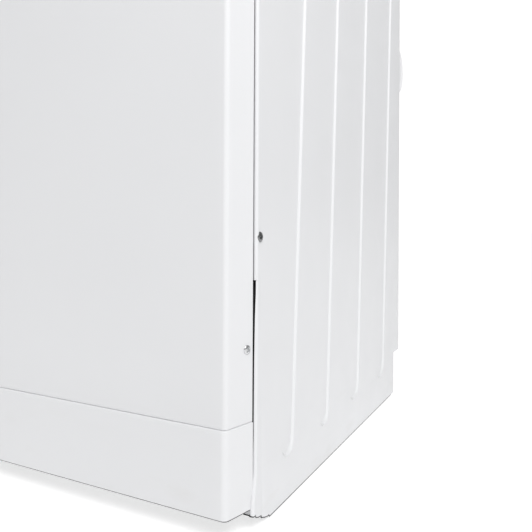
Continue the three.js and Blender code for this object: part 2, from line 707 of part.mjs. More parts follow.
pair('moving_rail', 'galvanised', movingRail());
pair('rear_roller', 'whitePlastic', roller(railInner + 2.5, rollerRearDepth));

// Lift-out bin with a rolled rim and hand holes.
function bin() {
  const outer = box(-binHalf, binHalf, binFront, binRear, binFloor, rimZ);
  const rim = box(-binHalf - 4, binHalf + 4, binFront - 4, binRear + 4, rimZ - 10, rimZ);
  const room = box(-binHalf + binWall, binHalf - binWall, binFront + binWall, binRear - binWall,
    binFloor + binWall, rimZ + 5);
  const hands = [-1, 1].map((side) => box(-45, 45, (side > 0 ? binRear : binFront) - 12,
    (side > 0 ? binRear : binFront) + 12, rimZ - 45, rimZ - 22));
  return hollow(outer.add(rim), room, ...hands);
}
piece('bin', 'greyPlastic', bin());
piece('bag_ring', 'brightSteel', hollow(
  box(-binHalf + 4, binHalf - 4, binFront + 4, binRear - 4, rimZ - 3, rimZ + 2),
  box(-binHalf + 7, binHalf - 7, binFront + 7, binRear - 7, rimZ - 8, rimZ + 8),
).add(hollow(
  box(-binHalf - 3, binHalf + 3, binFront - 3, binRear + 3, rimZ + gap, rimZ + 2.4),
  box(-binHalf + 7, binHalf - 7, binFront + 7, binRear - 7, rimZ - 8, rimZ + 8),
)));

// Handle: a bar on two posts, and the release paddle behind it.
const handleZ = drawerTop - 30;
const handleHalf = Math.min(150, cornerX - 22);
const paddlePinZ = handleZ + 12;
piece('handle', 'whitePlastic', joined(
  rod('x', -handleHalf, -handleReach + 7, handleZ, 7, 2 * handleHalf, 28),
  rod('y', -handleHalf + 12, -handleReach + 7, handleZ, 6, handleReach - 7 - gap, 28),
  rod('y', handleHalf - 12, -handleReach + 7, handleZ, 6, handleReach - 7 - gap, 28),
  box(-handleHalf, handleHalf, -1.8, -gap, handleZ - 12, handleZ + 19),
  box(-67, -62, -8, -1, handleZ + 7, handleZ + 17),
  box(62, 67, -8, -1, handleZ + 7, handleZ + 17),
  rod('x', -66, -5.8, paddlePinZ, 1.5, 132, 20),
));
piece('release_paddle', 'greyPlastic', hollow(
  joined(rod('x', -61, -5.8, paddlePinZ, 3.4, 122, 24),
    box(-61, 61, -7, -4, handleZ - 12, handleZ + 10)),
  rod('x', -70, -5.8, paddlePinZ, 1.9, 140, 20),
));

export default group;
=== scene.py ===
import json
import math
import bmesh
import bpy
import numpy as np
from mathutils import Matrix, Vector

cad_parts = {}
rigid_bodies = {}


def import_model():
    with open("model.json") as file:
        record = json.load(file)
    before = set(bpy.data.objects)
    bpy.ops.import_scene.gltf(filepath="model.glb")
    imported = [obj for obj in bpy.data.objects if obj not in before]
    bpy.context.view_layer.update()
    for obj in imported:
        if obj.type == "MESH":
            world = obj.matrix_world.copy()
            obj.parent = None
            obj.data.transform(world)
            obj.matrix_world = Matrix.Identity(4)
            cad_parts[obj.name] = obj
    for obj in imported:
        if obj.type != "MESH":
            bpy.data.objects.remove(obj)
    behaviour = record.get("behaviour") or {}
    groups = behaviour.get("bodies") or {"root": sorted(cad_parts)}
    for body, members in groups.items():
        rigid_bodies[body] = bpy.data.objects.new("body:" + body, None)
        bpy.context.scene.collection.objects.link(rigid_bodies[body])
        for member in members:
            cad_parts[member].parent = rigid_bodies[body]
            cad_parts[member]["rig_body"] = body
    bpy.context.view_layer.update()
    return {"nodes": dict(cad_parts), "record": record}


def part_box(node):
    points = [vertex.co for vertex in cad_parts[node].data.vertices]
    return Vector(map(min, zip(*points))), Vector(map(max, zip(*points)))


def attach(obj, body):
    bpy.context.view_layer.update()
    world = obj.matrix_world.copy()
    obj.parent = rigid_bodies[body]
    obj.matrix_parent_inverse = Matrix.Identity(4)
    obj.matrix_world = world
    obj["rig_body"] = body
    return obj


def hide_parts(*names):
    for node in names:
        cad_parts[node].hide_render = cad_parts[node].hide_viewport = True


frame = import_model()
mm = 0.001
pi = math.pi


def corners(node):
    # the low and high corner of a node's box
    low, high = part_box(node)
    return np.array(low), np.array(high)


# lines of the cabinet that several pieces share, all read from the frame
sideLow, sideHigh = corners("side_panel_right")
drawerLow, drawerHigh = corners("drawer_front")
half = sideHigh[0]
front = drawerLow[1]
returnX = drawerHigh[0]
returnDepth = drawerHigh[1] - front
returnOut = 9.2 * mm  # how far each side return flares outward


# mesh helpers: every shape is a grid of points turned into faces
def steps(*stops):
    # even steps between stops: from, to, count, to, count ... joined without repeats
    runs = [np.array([stops[0]])]
    for end, count in zip(stops[1::2], stops[2::2]):
        runs.append(np.linspace(runs[-1][-1], end, int(count) + 1)[1:])
    return np.concatenate(runs)


def quads(rows, columns, wrapRows=False, wrapColumns=False):
    # each face joins a grid point with its neighbours along the row and up the column
    i = np.arange(rows if wrapRows else rows - 1)[:, None]
    j = np.arange(columns if wrapColumns else columns - 1)[None, :]
    down, right = (i + 1) % rows, (j + 1) % columns
    return np.stack([i * columns + j, i * columns + right, down * columns + right, down * columns + j], -1)


def openSheet(points, keep=None):
    # a bare grid; keep is one flag for each face
    rows, columns = points.shape[:2]
    faces = quads(rows, columns)
    faces = faces[keep] if keep is not None else faces.reshape(-1, 4)
    return points.reshape(-1, 3), faces, np.zeros((0, 3), int)


def tube(rings, loop=False):
    # rings of points one after another; a loop joins the last to the first, else both ends get a fan
    rows, columns = rings.shape[:2]
    faces = quads(rows, columns, loop, True).reshape(-1, 4)
    points = rings.reshape(-1, 3)
    if loop:
        return points, faces, np.zeros((0, 3), int)
    j = np.arange(columns)
    n = rows * columns
    first = np.stack([np.full(columns, n), (j + 1) % columns, j], -1)
    last = np.stack([np.full(columns, n + 1), n - columns + j, n - columns + (j + 1) % columns], -1)
    points = np.concatenate([points, rings[0].mean(0)[None], rings[-1].mean(0)[None]])
    return points, faces, np.concatenate([first, last])


def wholeTurn(sides):
    # even angles once round
    return np.linspace(0, 2 * pi, sides, endpoint=False)


def turned(r, h, angle, centre, axis="z", loop=False):
    # radius r and height h at each angle about an axis through the centre
    a, b, h = r * np.cos(angle), r * np.sin(angle), h + 0 * angle
    order = {"z": (a, b, h), "y": (a, h, b), "x": (h, a, b)}[axis]
    return tube(np.stack(order, -1) + np.array(centre), loop)


def cappedSheet(rings, row, middle, keep=None):
    # open rings one after another, with a fan from one of them to a middle point
    rows, columns = rings.shape[:2]
    faces = quads(rows, columns, False, True)
    faces = faces[keep] if keep is not None else faces.reshape(-1, 4)
    j = np.arange(columns)
    cap = np.stack([row * columns + j, row * columns + (j + 1) % columns, np.full(columns, rows * columns)],
                   -1)
    return np.concatenate([rings.reshape(-1, 3), [middle]]), faces, cap


def revolve(profile, centre, axis="z", sides=48, loop=False):
    # a profile of (radius, height) turned once; a loop is a closed profile, which leaves a bore
    profile = np.array(profile, float)
    return turned(profile[:, 0:1], profile[:, 1:2], wholeTurn(sides), centre, axis, loop)


def rounded(profile, radius, count=4):
    # every inner corner of a profile becomes a short curve: a quadratic from edge to edge
    points = [np.array(profile[0], float)]
    for a, b, c in zip(profile, profile[1:], profile[2:]):
        a, b, c = (np.array(p, float) for p in (a, b, c))
        back, ahead = np.linalg.norm(a - b), np.linalg.norm(c - b)
        reach = min(radius, 0.45 * back, 0.45 * ahead)
        start, end = b + (a - b) / back * reach, b + (c - b) / ahead * reach
        for t in np.linspace(0, 1, count + 1):
            points.append((1 - t) ** 2 * start + 2 * t * (1 - t) * b + t * t * end)
    points.append(np.array(profile[-1], float))
    return np.array(points)


def block(low, high, radius, count=3):
    # a box with soft edges: a small sphere's point pushed out to the nearest inner corner
    low, high = np.array(low, float), np.array(high, float)
    radius = min(radius, 0.49 * (high - low).min())
    lon = np.concatenate([np.linspace(q * pi / 2, (q + 1) * pi / 2, count + 1) for q in range(4)])
    signX = np.repeat([1, -1, -1, 1], count + 1)
    signY = np.repeat([1, 1, -1, -1], count + 1)
    lat = np.concatenate([np.linspace(-pi / 2, 0, count + 1), np.linspace(0, pi / 2, count + 1)])
    signZ = np.repeat([-1, 1], count + 1)
    inner = (high - low) / 2 - radius
    x = signX * inner[0] + radius * np.cos(lat)[:, None] * np.cos(lon)
    y = signY * inner[1] + radius * np.cos(lat)[:, None] * np.sin(lon)
    z = (signZ * inner[2] + radius * np.sin(lat))[:, None] + 0 * lon
    return tube(np.stack([x, y, z], -1) + (low + high) / 2)


def sweep(section, path, normal, loop=False):
    # a section of (out, up) pairs carried along a flat path; out is square to the path, up is the plane's
    # normal
    path, normal = np.array(path, float), np.array(normal, float)
    if loop:
        along = np.roll(path, -1, 0) - np.roll(path, 1, 0)
    else:
        along = np.gradient(path, axis=0)
    along /= np.linalg.norm(along, axis=1)[:, None]
    out = np.cross(along, normal)
    section = np.array(section, float)
    rings = path[:, None] + section[None, :, 0:1] * out[:, None] + section[None, :, 1:2] * normal
    return tube(rings, loop)


def ovalSection(wide, high, power=2.0, count=20):
    # a superellipse: 2 is an oval, larger powers turn it towards a rounded rectangle
    c, s = np.cos(wholeTurn(count)), np.sin(wholeTurn(count))
    return np.stack([wide / 2 * np.sign(c) * abs(c) ** (2 / power),
                     high / 2 * np.sign(s) * abs(s) ** (2 / power)], -1)


def ring(halfX, halfY, radius, centre=(0, 0), count=8):
    # one turn of a rectangle with round corners, as points in plan
    radius = min(radius, halfX * 0.99, halfY * 0.99)
    angle = np.concatenate([np.linspace(q * pi / 2, (q + 1) * pi / 2, count + 1) for q in range(4)])
    signX = np.repeat([1, -1, -1, 1], count + 1)
    signY = np.repeat([1, 1, -1, -1], count + 1)
    return np.stack([centre[0] + signX * (halfX - radius) + radius * np.cos(angle),
                     centre[1] + signY * (halfY - radius) + radius * np.sin(angle)], -1)


def rotated(part, axis, angle, about):
    # turns a part about a line through a point
    c, s = math.cos(angle), math.sin(angle)
    turn = {"x": [[1, 0, 0], [0, c, -s], [0, s, c]], "y": [[c, 0, s], [0, 1, 0], [-s, 0, c]],
            "z": [[c, -s, 0], [s, c, 0], [0, 0, 1]]}[axis]
    return (part[0] - about) @ np.array(turn).T + about, part[1], part[2]


def meshOf(name, parts):
    # several point and face sets become one mesh, with doubles merged and faces turned outward
    offset, points, four, three = 0, [], [], []
    for p, q, t in parts:
        points.append(p)
        four.append(q + offset)
        three.append(t + offset)
        offset += len(p)
    points, four, three = np.concatenate(points), np.concatenate(four), np.concatenate(three)
    mesh = bpy.data.meshes.new(name)
    mesh.vertices.add(len(points))
    mesh.vertices.foreach_set("co", points.astype(np.float32).ravel())
    mesh.loops.add(four.size + three.size)
    mesh.loops.foreach_set("vertex_index", np.concatenate([four.ravel(), three.ravel()]).astype(np.int32))
    sizes = np.concatenate([np.full(len(four), 4), np.full(len(three), 3)])
    mesh.polygons.add(len(sizes))
    mesh.polygons.foreach_set("loop_start", np.concatenate([[0], np.cumsum(sizes)[:-1]]).astype(np.int32))
    mesh.update(calc_edges=True)
    mesh.validate()
    work = bmesh.new()
    work.from_mesh(mesh)
    bmesh.ops.remove_doubles(work, verts=work.verts, dist=2e-6)
    bmesh.ops.dissolve_degenerate(work, edges=work.edges, dist=1e-6)
    return mesh, work


def baked(thing, sharpAngle):
    # modifiers become real mesh, and only edges sharper than the angle stay crisp
    bpy.context.view_layer.update()
    final = bpy.data.meshes.new_from_object(thing.evaluated_get(bpy.context.evaluated_depsgraph_get()))
    thing.modifiers.clear()
    old, thing.data = thing.data, final
    bpy.data.meshes.remove(old)
    final.name = thing.name
    final.polygons.foreach_set("use_smooth", np.ones(len(final.polygons), bool))
    final.set_sharp_from_angle(angle=math.radians(sharpAngle))


def placed(name, mesh):
    # a new object in the scene
    thing = bpy.data.objects.new(name, mesh)
    bpy.context.scene.collection.objects.link(thing)
    return thing


def covered(thing, material):
    # the finish takes the place of any other
    thing.data.materials.clear()
    thing.data.materials.append(material)


def piece(name, parts, slot, body, replaces=(), wall=0.0, inward=None, sharpAngle=38):
    # one finished object in its slot's finish; wall thickens an open sheet on the side of the inward point
    mesh, work = meshOf(name, parts)
    bmesh.ops.recalc_face_normals(work, faces=work.faces)
    if wall:
        away = sum((f.normal.dot(f.calc_center_median() - Vector(inward))
                    * f.calc_area() for f in work.faces))
        if away < 0:
            bmesh.ops.reverse_faces(work, faces=work.faces)
    work.to_mesh(mesh)
    work.free()
    thing = placed(name, mesh)
    if wall:
        thicken = thing.modifiers.new("wall", "SOLIDIFY")
        thicken.thickness = wall
        thicken.offset = -1
        thicken.use_even_offset = True
    baked(thing, sharpAngle)
    covered(thing, finishes[slot])
    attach(thing, body)
    if replaces:
        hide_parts(*replaces)
    return thing


def softened(node):
    # a copy of a pressed or cast part with its doubles merged, flats joined and edges eased
    source = frame["nodes"][node]
    mesh = source.data.copy()
    work = bmesh.new()
    work.from_mesh(mesh)
    bmesh.ops.remove_doubles(work, verts=work.verts, dist=1e-6)
    bmesh.ops.dissolve_limit(work, angle_limit=math.radians(0.5), verts=work.verts, edges=work.edges)
    edges = [e for e in work.edges if len(e.link_faces) == 2 and e.calc_face_angle(0) > math.radians(40)]
    bmesh.ops.bevel(work, geom=edges, offset=0.5 * mm, offset_type="OFFSET", segments=2, profile=0.5,
                    affect="EDGES", clamp_overlap=True)
    bmesh.ops.triangulate(work, faces=[f for f in work.faces if len(f.verts) > 4])
    for layer in list(work.loops.layers.uv):
        work.loops.layers.uv.remove(layer)
    work.to_mesh(mesh)
    work.free()
    thing = placed(node + "_finished", mesh)
    baked(thing, 32)
    covered(thing, finishes[slotOf[node]])
    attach(thing, source["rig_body"])
    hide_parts(node)


slotOf = {p["node"]: p["material_slot"] for p in frame["record"]["subparts"]}
bodyOf = {n: b for b, nodes in frame["record"]["behaviour"]["bodies"].items() for n in nodes}


def newFinish(name, color, roughness, metallic=0.0):
    # an empty material with one surface shader, its node tree and its object coordinates
    material = bpy.data.materials.new(name)
    material.use_nodes = True
    tree = material.node_tree
    shader = tree.nodes["Principled BSDF"]
    shader.inputs["Base Color"].default_value = (*color, 1)
    shader.inputs["Roughness"].default_value = roughness
    shader.inputs["Metallic"].default_value = metallic
    place = tree.nodes.new("ShaderNodeTexCoord")
    return material, tree, shader, place.outputs["Object"]


def grain(tree, place, scale, detail, stretch=(1, 1, 1)):
    # fractal noise on object coordinates, optionally drawn out along an axis
    mapping = tree.nodes.new("ShaderNodeMapping")
    mapping.inputs["Scale"].default_value = stretch
    noise = tree.nodes.new("ShaderNodeTexNoise")
    noise.inputs["Scale"].default_value = scale
    noise.inputs["Detail"].default_value = detail
    tree.links.new(place, mapping.inputs["Vector"])
    tree.links.new(mapping.outputs["Vector"], noise.inputs["Vector"])
    return noise.outputs["Fac"]


def ranged(tree, value, low, high, fromLow=0.3, fromHigh=0.7):
    # the share of a value between two levels, drawn out to a new range
    node = tree.nodes.new("ShaderNodeMapRange")
    for socket, number in zip(("From Min", "From Max", "To Min", "To Max"), (fromLow, fromHigh, low, high)):
        node.inputs[socket].default_value = number
    tree.links.new(value, node.inputs["Value"])
    return node.outputs["Result"]


def blended(tree, factor, colorA, colorB):
    # colour A where the factor is 0 and colour B where it is 1
    node = tree.nodes.new("ShaderNodeMix")
    node.data_type = "RGBA"
    for socket, color in ((node.inputs[6], colorA), (node.inputs[7], colorB)):
        if isinstance(color, tuple):
            socket.default_value = (*color, 1)
        else:
            tree.links.new(color, socket)
    tree.links.new(factor, node.inputs[0])
    return node.outputs[2]


def raised(tree, shader, height, strength, distance, under=None):
    # turns a height into a bump on the shader's normal
    bump = tree.nodes.new("ShaderNodeBump")
    bump.inputs["Strength"].default_value = strength
    bump.inputs["Distance"].default_value = distance
    tree.links.new(height, bump.inputs["Height"])
    if under is not None:
        tree.links.new(under, bump.inputs["Normal"])
    tree.links.new(bump.outputs["Normal"], shader.inputs["Normal"])
    return bump.outputs["Normal"]


def joinedValue(tree, operation, a, b):
    # one sum on two values, each a number or a socket
    node = tree.nodes.new("ShaderNodeMath")
    node.operation = operation
    for socket, value in zip(node.inputs, (a, b)):
        if isinstance(value, (int, float)):
            socket.default_value = value
        else:
            tree.links.new(value, socket)
    return node.outputs[0]


def heightOf(tree, place):
    # the upright part of the object coordinates
    split = tree.nodes.new("ShaderNodeSeparateXYZ")
    tree.links.new(place, split.inputs[0])
    return split.outputs[2]


enamelLook = {"color": (0.706, 0.710, 0.722), "shade": (0.692, 0.696, 0.708), "scuff": (0.62, 0.615, 0.605),
              "roughness": 0.42, "peelScale": 420, "scuffHeight": 0.11}


def enamelFinish(name, look=enamelLook):
    # sprayed enamel: broad cloudy tone, fine orange peel over slow waves, and rub marks near the floor
    material, tree, shader, place = newFinish(name, look["color"], look["roughness"])
    cloud = ranged(tree, grain(tree, place, 3.1, 4), 0, 1)
    tone = blended(tree, cloud, look["color"], look["shade"])
    low = ranged(tree, heightOf(tree, place), 1, 0, 0.0, look["scuffHeight"])
    rubbed = ranged(tree, grain(tree, place, 38, 6, (0.35, 0.35, 1)), 0, 0.55, 0.56, 0.78)
    marks = joinedValue(tree, "MULTIPLY", low, rubbed)
    tree.links.new(blended(tree, marks, tone, look["scuff"]), shader.inputs["Base Color"])
    tree.links.new(ranged(tree, grain(tree, place, 26, 5), look["roughness"] - 0.05,
                          look["roughness"] + 0.09),
                   shader.inputs["Roughness"])
    peel = raised(tree, shader, grain(tree, place, look["peelScale"], 2), 0.10, 0.0004)
    raised(tree, shader, grain(tree, place, 9, 2), 0.08, 0.002, peel)
    shader.inputs["Specular IOR Level"].default_value = 0.35
    return material


def plasticFinish(name, color, roughness=0.45, sparkScale=900, strength=0.18, wear=0.06):
    # moulded plastic: spark-eroded grain, faint flow clouding and slightly polished patches
    material, tree, shader, place = newFinish(name, color, roughness)
    lighter = tuple(min(1.0, c * (1 + wear) + 0.01) for c in color)
    darker = tuple(c * (1 - wear) for c in color)
    tree.links.new(blended(tree, ranged(tree, grain(tree, place, 14, 5), 0, 1), darker, lighter),
                   shader.inputs["Base Color"])
    tree.links.new(ranged(tree, grain(tree, place, 45, 4), roughness - 0.1, roughness + 0.08),
                   shader.inputs["Roughness"])
    raised(tree, shader, grain(tree, place, sparkScale, 3), strength, 0.0003)
    return material


def zincFinish(name, color=(0.60, 0.62, 0.63), roughness=0.42):
    # hot-dip zinc: crystal spangle from cells, each with its own tone, under a thin cloudy oxide
    material, tree, shader, place = newFinish(name, color, roughness, 0.85)
    cells = tree.nodes.new("ShaderNodeTexVoronoi")
    cells.inputs["Scale"].default_value = 170
    cells.inputs["Randomness"].default_value = 1.0
    tree.links.new(place, cells.inputs["Vector"])
    split = tree.nodes.new("ShaderNodeSeparateXYZ")
    tree.links.new(cells.outputs["Color"], split.inputs[0])
    spangle = blended(tree, split.outputs[0], tuple(c * 0.92 for c in color),
                      tuple(min(1, c * 1.07) for c in color))
    oxide = ranged(tree, grain(tree, place, 11, 6), 0, 0.5, 0.45, 0.75)
    tree.links.new(blended(tree, oxide, spangle, (0.52, 0.53, 0.53)), shader.inputs["Base Color"])
    dull = ranged(tree, split.outputs[1], roughness - 0.12, roughness + 0.14, 0, 1)
    tree.links.new(dull, shader.inputs["Roughness"])
    raised(tree, shader, grain(tree, place, 160, 4), 0.12, 0.0005)
    return material


def steelFinish(name, color, roughness=0.28, stretch=(1, 1, 60), scale=60, dirt=0.35,
                dirtColor=(0.10, 0.085, 0.07)):
    # machined steel: fine lines drawn out along one axis, with oil and soot gathered in cloudy patches
    material, tree, shader, place = newFinish(name, color, roughness, 1.0)
    lines = grain(tree, place, scale, 4, stretch)
    clean = blended(tree, ranged(tree, lines, 0, 1), tuple(c * 0.88 for c in color), color)
    grime = ranged(tree, grain(tree, place, 34, 7), 0, dirt, 0.5, 0.8)
    tree.links.new(blended(tree, grime, clean, dirtColor), shader.inputs["Base Color"])
    tree.links.new(ranged(tree, lines, roughness - 0.08, roughness + 0.14), shader.inputs["Roughness"])
    raised(tree, shader, lines, 0.16, 0.0002)
    return material


def castFinish(name, color, roughness=0.62, metallic=0.35):
    # painted casting: pebbled sand texture, worn bright on the high grains, dusty in the low ones
    material, tree, shader, place = newFinish(name, color, roughness, metallic)
    pebble = grain(tree, place, 240, 5)
    worn = ranged(tree, grain(tree, place, 60, 7), 0, 0.6, 0.58, 0.74)
    dusty = blended(tree, ranged(tree, grain(tree, place, 9, 4), 0, 1), color,
                    tuple(c * 1.35 + 0.01 for c in color))
    tree.links.new(blended(tree, worn, dusty, (0.42, 0.40, 0.38)), shader.inputs["Base Color"])
    tree.links.new(ranged(tree, pebble, roughness - 0.12, roughness + 0.12), shader.inputs["Roughness"])
    raised(tree, shader, pebble, 0.45, 0.0008)
    return material


def rubberFinish(name, color=(0.022, 0.022, 0.024)):
    # black rubber: dull, with a grey bloom in clouds and a fine dry grain
    material, tree, shader, place = newFinish(name, color, 0.75)
    bloom = ranged(tree, grain(tree, place, 30, 6), 0, 0.6, 0.45, 0.8)
    tree.links.new(blended(tree, bloom, color, (0.085, 0.083, 0.08)), shader.inputs["Base Color"])
    tree.links.new(ranged(tree, grain(tree, place, 70, 4), 0.62, 0.88), shader.inputs["Roughness"])
    raised(tree, shader, grain(tree, place, 700, 3), 0.3, 0.0004)
    return material


def foamFinish(name):
    # open charcoal foam: a fine cell pattern with pits deeper than the webs between, and the pits coloured
    # darker as painted shade
    material, tree, shader, place = newFinish(name, (0.03, 0.03, 0.032), 0.95)
    cells = tree.nodes.new("ShaderNodeTexVoronoi")
    cells.inputs["Scale"].default_value = 420
    tree.links.new(place, cells.inputs["Vector"])
    depth = ranged(tree, cells.outputs["Distance"], 0, 1, 0.1, 0.6)
    # painted shade: the deep pits take the darker colour and the raised webs the lighter one
    tree.links.new(blended(tree, depth, (0.012, 0.012, 0.013), (0.07, 0.07, 0.072)),
                   shader.inputs["Base Color"])
    tree.links.new(ranged(tree, grain(tree, place, 50, 4), 0.85, 1.0), shader.inputs["Roughness"])
    raised(tree, shader, depth, 0.8, 0.0012)
    return material


finishes = {
    "white_enamel": enamelFinish("white enamel"),
    "white_plastic": plasticFinish("white gloss plastic", (0.725, 0.729, 0.742), 0.36, 1100, 0.10, 0.02),
    "bumper_plastic": plasticFinish("white bumper plastic", (0.725, 0.729, 0.742), 0.5, 800, 0.2, 0.03),
    "handle_plastic": plasticFinish("white handle plastic", (0.725, 0.729, 0.742), 0.32, 1300, 0.08, 0.02),
    "roller_plastic": plasticFinish("natural nylon", (0.74, 0.73, 0.68), 0.42, 700, 0.15, 0.06),
    "galvanised": zincFinish("galvanised sheet"),
    "rail_steel": zincFinish("zinc plated runner", (0.55, 0.57, 0.58), 0.34),
    "foot_rubber": rubberFinish("foot rubber"),
    "belt_rubber": rubberFinish("belt rubber", (0.016, 0.016, 0.017)),
    "dark_plastic": plasticFinish("black moulded plastic", (0.03, 0.03, 0.033), 0.5, 700, 0.3, 0.2),
    "grey_plastic": plasticFinish("grey moulded plastic", (0.36, 0.38, 0.39), 0.5, 700, 0.25, 0.08),
    "bin_plastic": plasticFinish("grey bin plastic", (0.24, 0.26, 0.28), 0.55, 480, 0.35, 0.12),
    "knob_plastic": plasticFinish("knob plastic", (0.17, 0.18, 0.19), 0.38, 900, 0.15, 0.1),
    "start_plastic": plasticFinish("start button plastic", (0.06, 0.24, 0.10), 0.34, 900, 0.1, 0.1),
    "stop_plastic": plasticFinish("stop button plastic", (0.34, 0.045, 0.035), 0.34, 900, 0.1, 0.1),
    "lamp_lens": plasticFinish("amber lens", (0.78, 0.36, 0.05), 0.12, 300, 0.05, 0.08),
    "charcoal_foam": foamFinish("charcoal foam"),
    "motor_iron": castFinish("motor paint", (0.035, 0.038, 0.042), 0.5),
    "ram_iron": castFinish("ram casting", (0.13, 0.135, 0.14)),
    "pulley_iron": steelFinish("pulley iron", (0.26, 0.27, 0.28), 0.4, (1, 1, 12), 120),
    "screw_steel": steelFinish("screw steel", (0.48, 0.48, 0.49), 0.25, (1, 1, 8), 200, 0.8),
    "dark_screw": steelFinish("dull fastener steel", (0.27, 0.275, 0.28), 0.3, (12, 1, 1), 400, 0.5),
    "bright_screw": steelFinish("bright fastener steel", (0.72, 0.73, 0.74), 0.2, (12, 1, 1), 400, 0.15),
    "ring_steel": steelFinish("ring steel", (0.66, 0.67, 0.68), 0.18, (40, 1, 1), 50, 0.1),
    "bronze": steelFinish("bronze", (0.55, 0.36, 0.16), 0.3, (1, 1, 6), 150, 0.5, (0.12, 0.07, 0.03)),
}
print("finishes ready:", len(finishes))


coverShape = {"cornerRadius": 5.9 * mm, "cornerSteps": 9, "wall": 1.1 * mm, "lip": 9 * mm,
              "returnProud": 0.8 * mm, "hem": (0.45, 1.2, 3.0, 7.0)}


def frontPlan(inset, tailCut):
    # plan line of a cover at each row: half of the flat front, a round corner, the flared return
    # and its turned-in tail; every point moves inward by the row's inset
    inset, tailCut = inset[:, None], tailCut[:, None]
    along = np.array([returnOut - 0.5 * mm, returnDepth - 3.8 * mm])
    along /= np.linalg.norm(along)
    outward = np.array([along[1], -along[0]])
    turn = math.atan2(along[1], along[0])
    radius = np.maximum(coverShape["cornerRadius"] - inset, 0.4 * mm)
    centreY = front + inset + radius
    # a point on the return line keeps this distance along the outward normal
    reach = outward @ np.array([returnX, front + returnDepth]) - np.maximum(inset, -coverShape["returnProud"])
    centreX = (reach - radius - outward[1] * centreY) / outward[0]
    flat = np.linspace(0, 1, 26)[None, :-1]
    frontX, frontY = flat * centreX, front + inset + 0 * flat
    sweepAngle = np.linspace(-pi / 2, -pi / 2 + turn, coverShape["cornerSteps"])[None]
    cornerX, cornerY = centreX + radius * np.cos(sweepAngle), centreY + radius * np.sin(sweepAngle)
    endY = front + returnDepth - tailCut
    endX = (reach - outward[1] * endY) / outward[0]
    share = np.linspace(0, 1, 9)[None, 1:]
    backX = cornerX[:, -1:] + (endX - cornerX[:, -1:]) * share
    backY = cornerY[:, -1:] + (endY - 1.0 * mm - cornerY[:, -1:]) * share
    hem = np.array(coverShape["hem"])[None] * mm
    hemX, hemY = endX - hem, endY + np.array([-0.25, 0, 0, 0])[None] * mm + 0 * endX
    x = np.concatenate([frontX, cornerX, backX, hemX], 1)
    y = np.concatenate([frontY, cornerY, backY, hemY], 1)
    return np.concatenate([-x[:, :0:-1], x], 1), np.concatenate([y[:, :0:-1], y], 1)


def coverRows(low, high, lowRadius, highRadius, lip, body=14):
    # upright profile of a cover: bottom lip, round edge, face, round edge, top lip, as inset and height
    quarter = np.linspace(0, pi / 2, 6)
    inset = np.concatenate([[lip], lowRadius * (1 - np.sin(quarter)), np.zeros(body),
                            highRadius * (1 - np.cos(quarter)), [lip]])
    height = np.concatenate([[low], low + lowRadius * (1 - np.cos(quarter)),
                             np.linspace(low + lowRadius, high - highRadius, body + 2)[1:-1],
                             high - highRadius + highRadius * np.sin(quarter), [high]])
    return inset, height


def coverPoints(inset, height, tailCut=None):
    # the plan line of every row, set at that row's height
    tailCut = np.zeros_like(inset) if tailCut is None else tailCut
    x, y = frontPlan(inset, tailCut)
    return np.stack([x, y, height[:, None] + 0 * x], -1)


def coverSheet(inset, height, tailCut=None):
    # the lips stop short of the turned-in tails, where their faces would have no width
    points = coverPoints(inset, height, tailCut)
    keep = np.ones((points.shape[0] - 1, points.shape[1] - 1), bool)
    for row in (0, -1):
        keep[row, :5] = keep[row, -5:] = False
    return openSheet(points, keep)


cabinetCentre = (0, 0, 0.45)

doorShape = {"lowRadius": 0.7 * mm, "highRadius": 2.2 * mm}
inset, height = coverRows(drawerLow[2], drawerHigh[2], doorShape["lowRadius"], doorShape["highRadius"],
                          coverShape["lip"])
piece("drawer_front_cover", [coverSheet(inset, height)], "white_enamel", "drawer", ["drawer_front"],
      coverShape["wall"], cabinetCentre)

# the plinth stands a little proud of the door, so its folded top edge catches the light
plinthShape = {"foldRadius": 2.6 * mm, "lowRadius": 0.8 * mm, "clip": 2.5 * mm, "rise": 1.15 * mm,
               "proud": 1.3 * mm}
plinthLow, plinthHigh = corners("kick_plate")
inset, height = coverRows(plinthLow[2], plinthHigh[2] + plinthShape["rise"], plinthShape["lowRadius"],
                          plinthShape["foldRadius"], coverShape["lip"], 20)
inset = inset - plinthShape["proud"]
tailCut = np.clip(plinthShape["clip"] - (height - plinthLow[2]), 0, None)
plinthFoot = coverPoints(np.array([-0.2 * mm]), np.array([plinthLow[2]]), tailCut[:1])[0, 3:-3]
piece("plinth_cover", [coverSheet(inset, height, tailCut)], "white_enamel", "cabinet", ["kick_plate"],
      coverShape["wall"], cabinetCentre)

# the control fascia needs round openings, so its sheet is cut by plugs around the moving controls
fasciaLow, fasciaHigh = corners("control_panel")
controls = {"start_button": 11.7 * mm, "stop_button": 11.7 * mm, "key_knob": 7.4 * mm,
            "status_lamp": 6.4 * mm}
fasciaShape = {"edgeRadius": 3.0 * mm, "wall": 2.0 * mm, "bezel": 2.6 * mm, "bezelProud": 1.1 * mm}
inset, height = coverRows(fasciaLow[2], fasciaHigh[2], fasciaShape["edgeRadius"], fasciaShape["edgeRadius"],
                          coverShape["lip"])
fascia = piece("control_fascia", [coverSheet(inset, height)], "white_plastic", "cabinet", ["control_panel"],
               fasciaShape["wall"], cabinetCentre)
plugs = []
bezels = []
for node, radius in controls.items():
    low, high = corners(node)
    middle = (low + high) / 2
    plugs.append(revolve([(radius, -9 * mm), (radius, 9 * mm)], (middle[0], front, middle[2]), "y", 56))
    if node == "key_knob":
        continue  # the knob's own skirt covers its opening
    outer = radius + fasciaShape["bezel"]
    section = rounded([(radius, 3 * mm), (radius, -fasciaShape["bezelProud"] + 0.3 * mm),
                       (radius + 0.8 * mm, -fasciaShape["bezelProud"]), (outer - 0.6 * mm, -0.5 * mm),
                       (outer, 0.6 * mm), (outer - 1.2 * mm, 3 * mm)], 0.5 * mm)
    bezels.append(revolve(section, (middle[0], front, middle[2]), "y", 64, True))
mesh, work = meshOf("plugs", plugs)
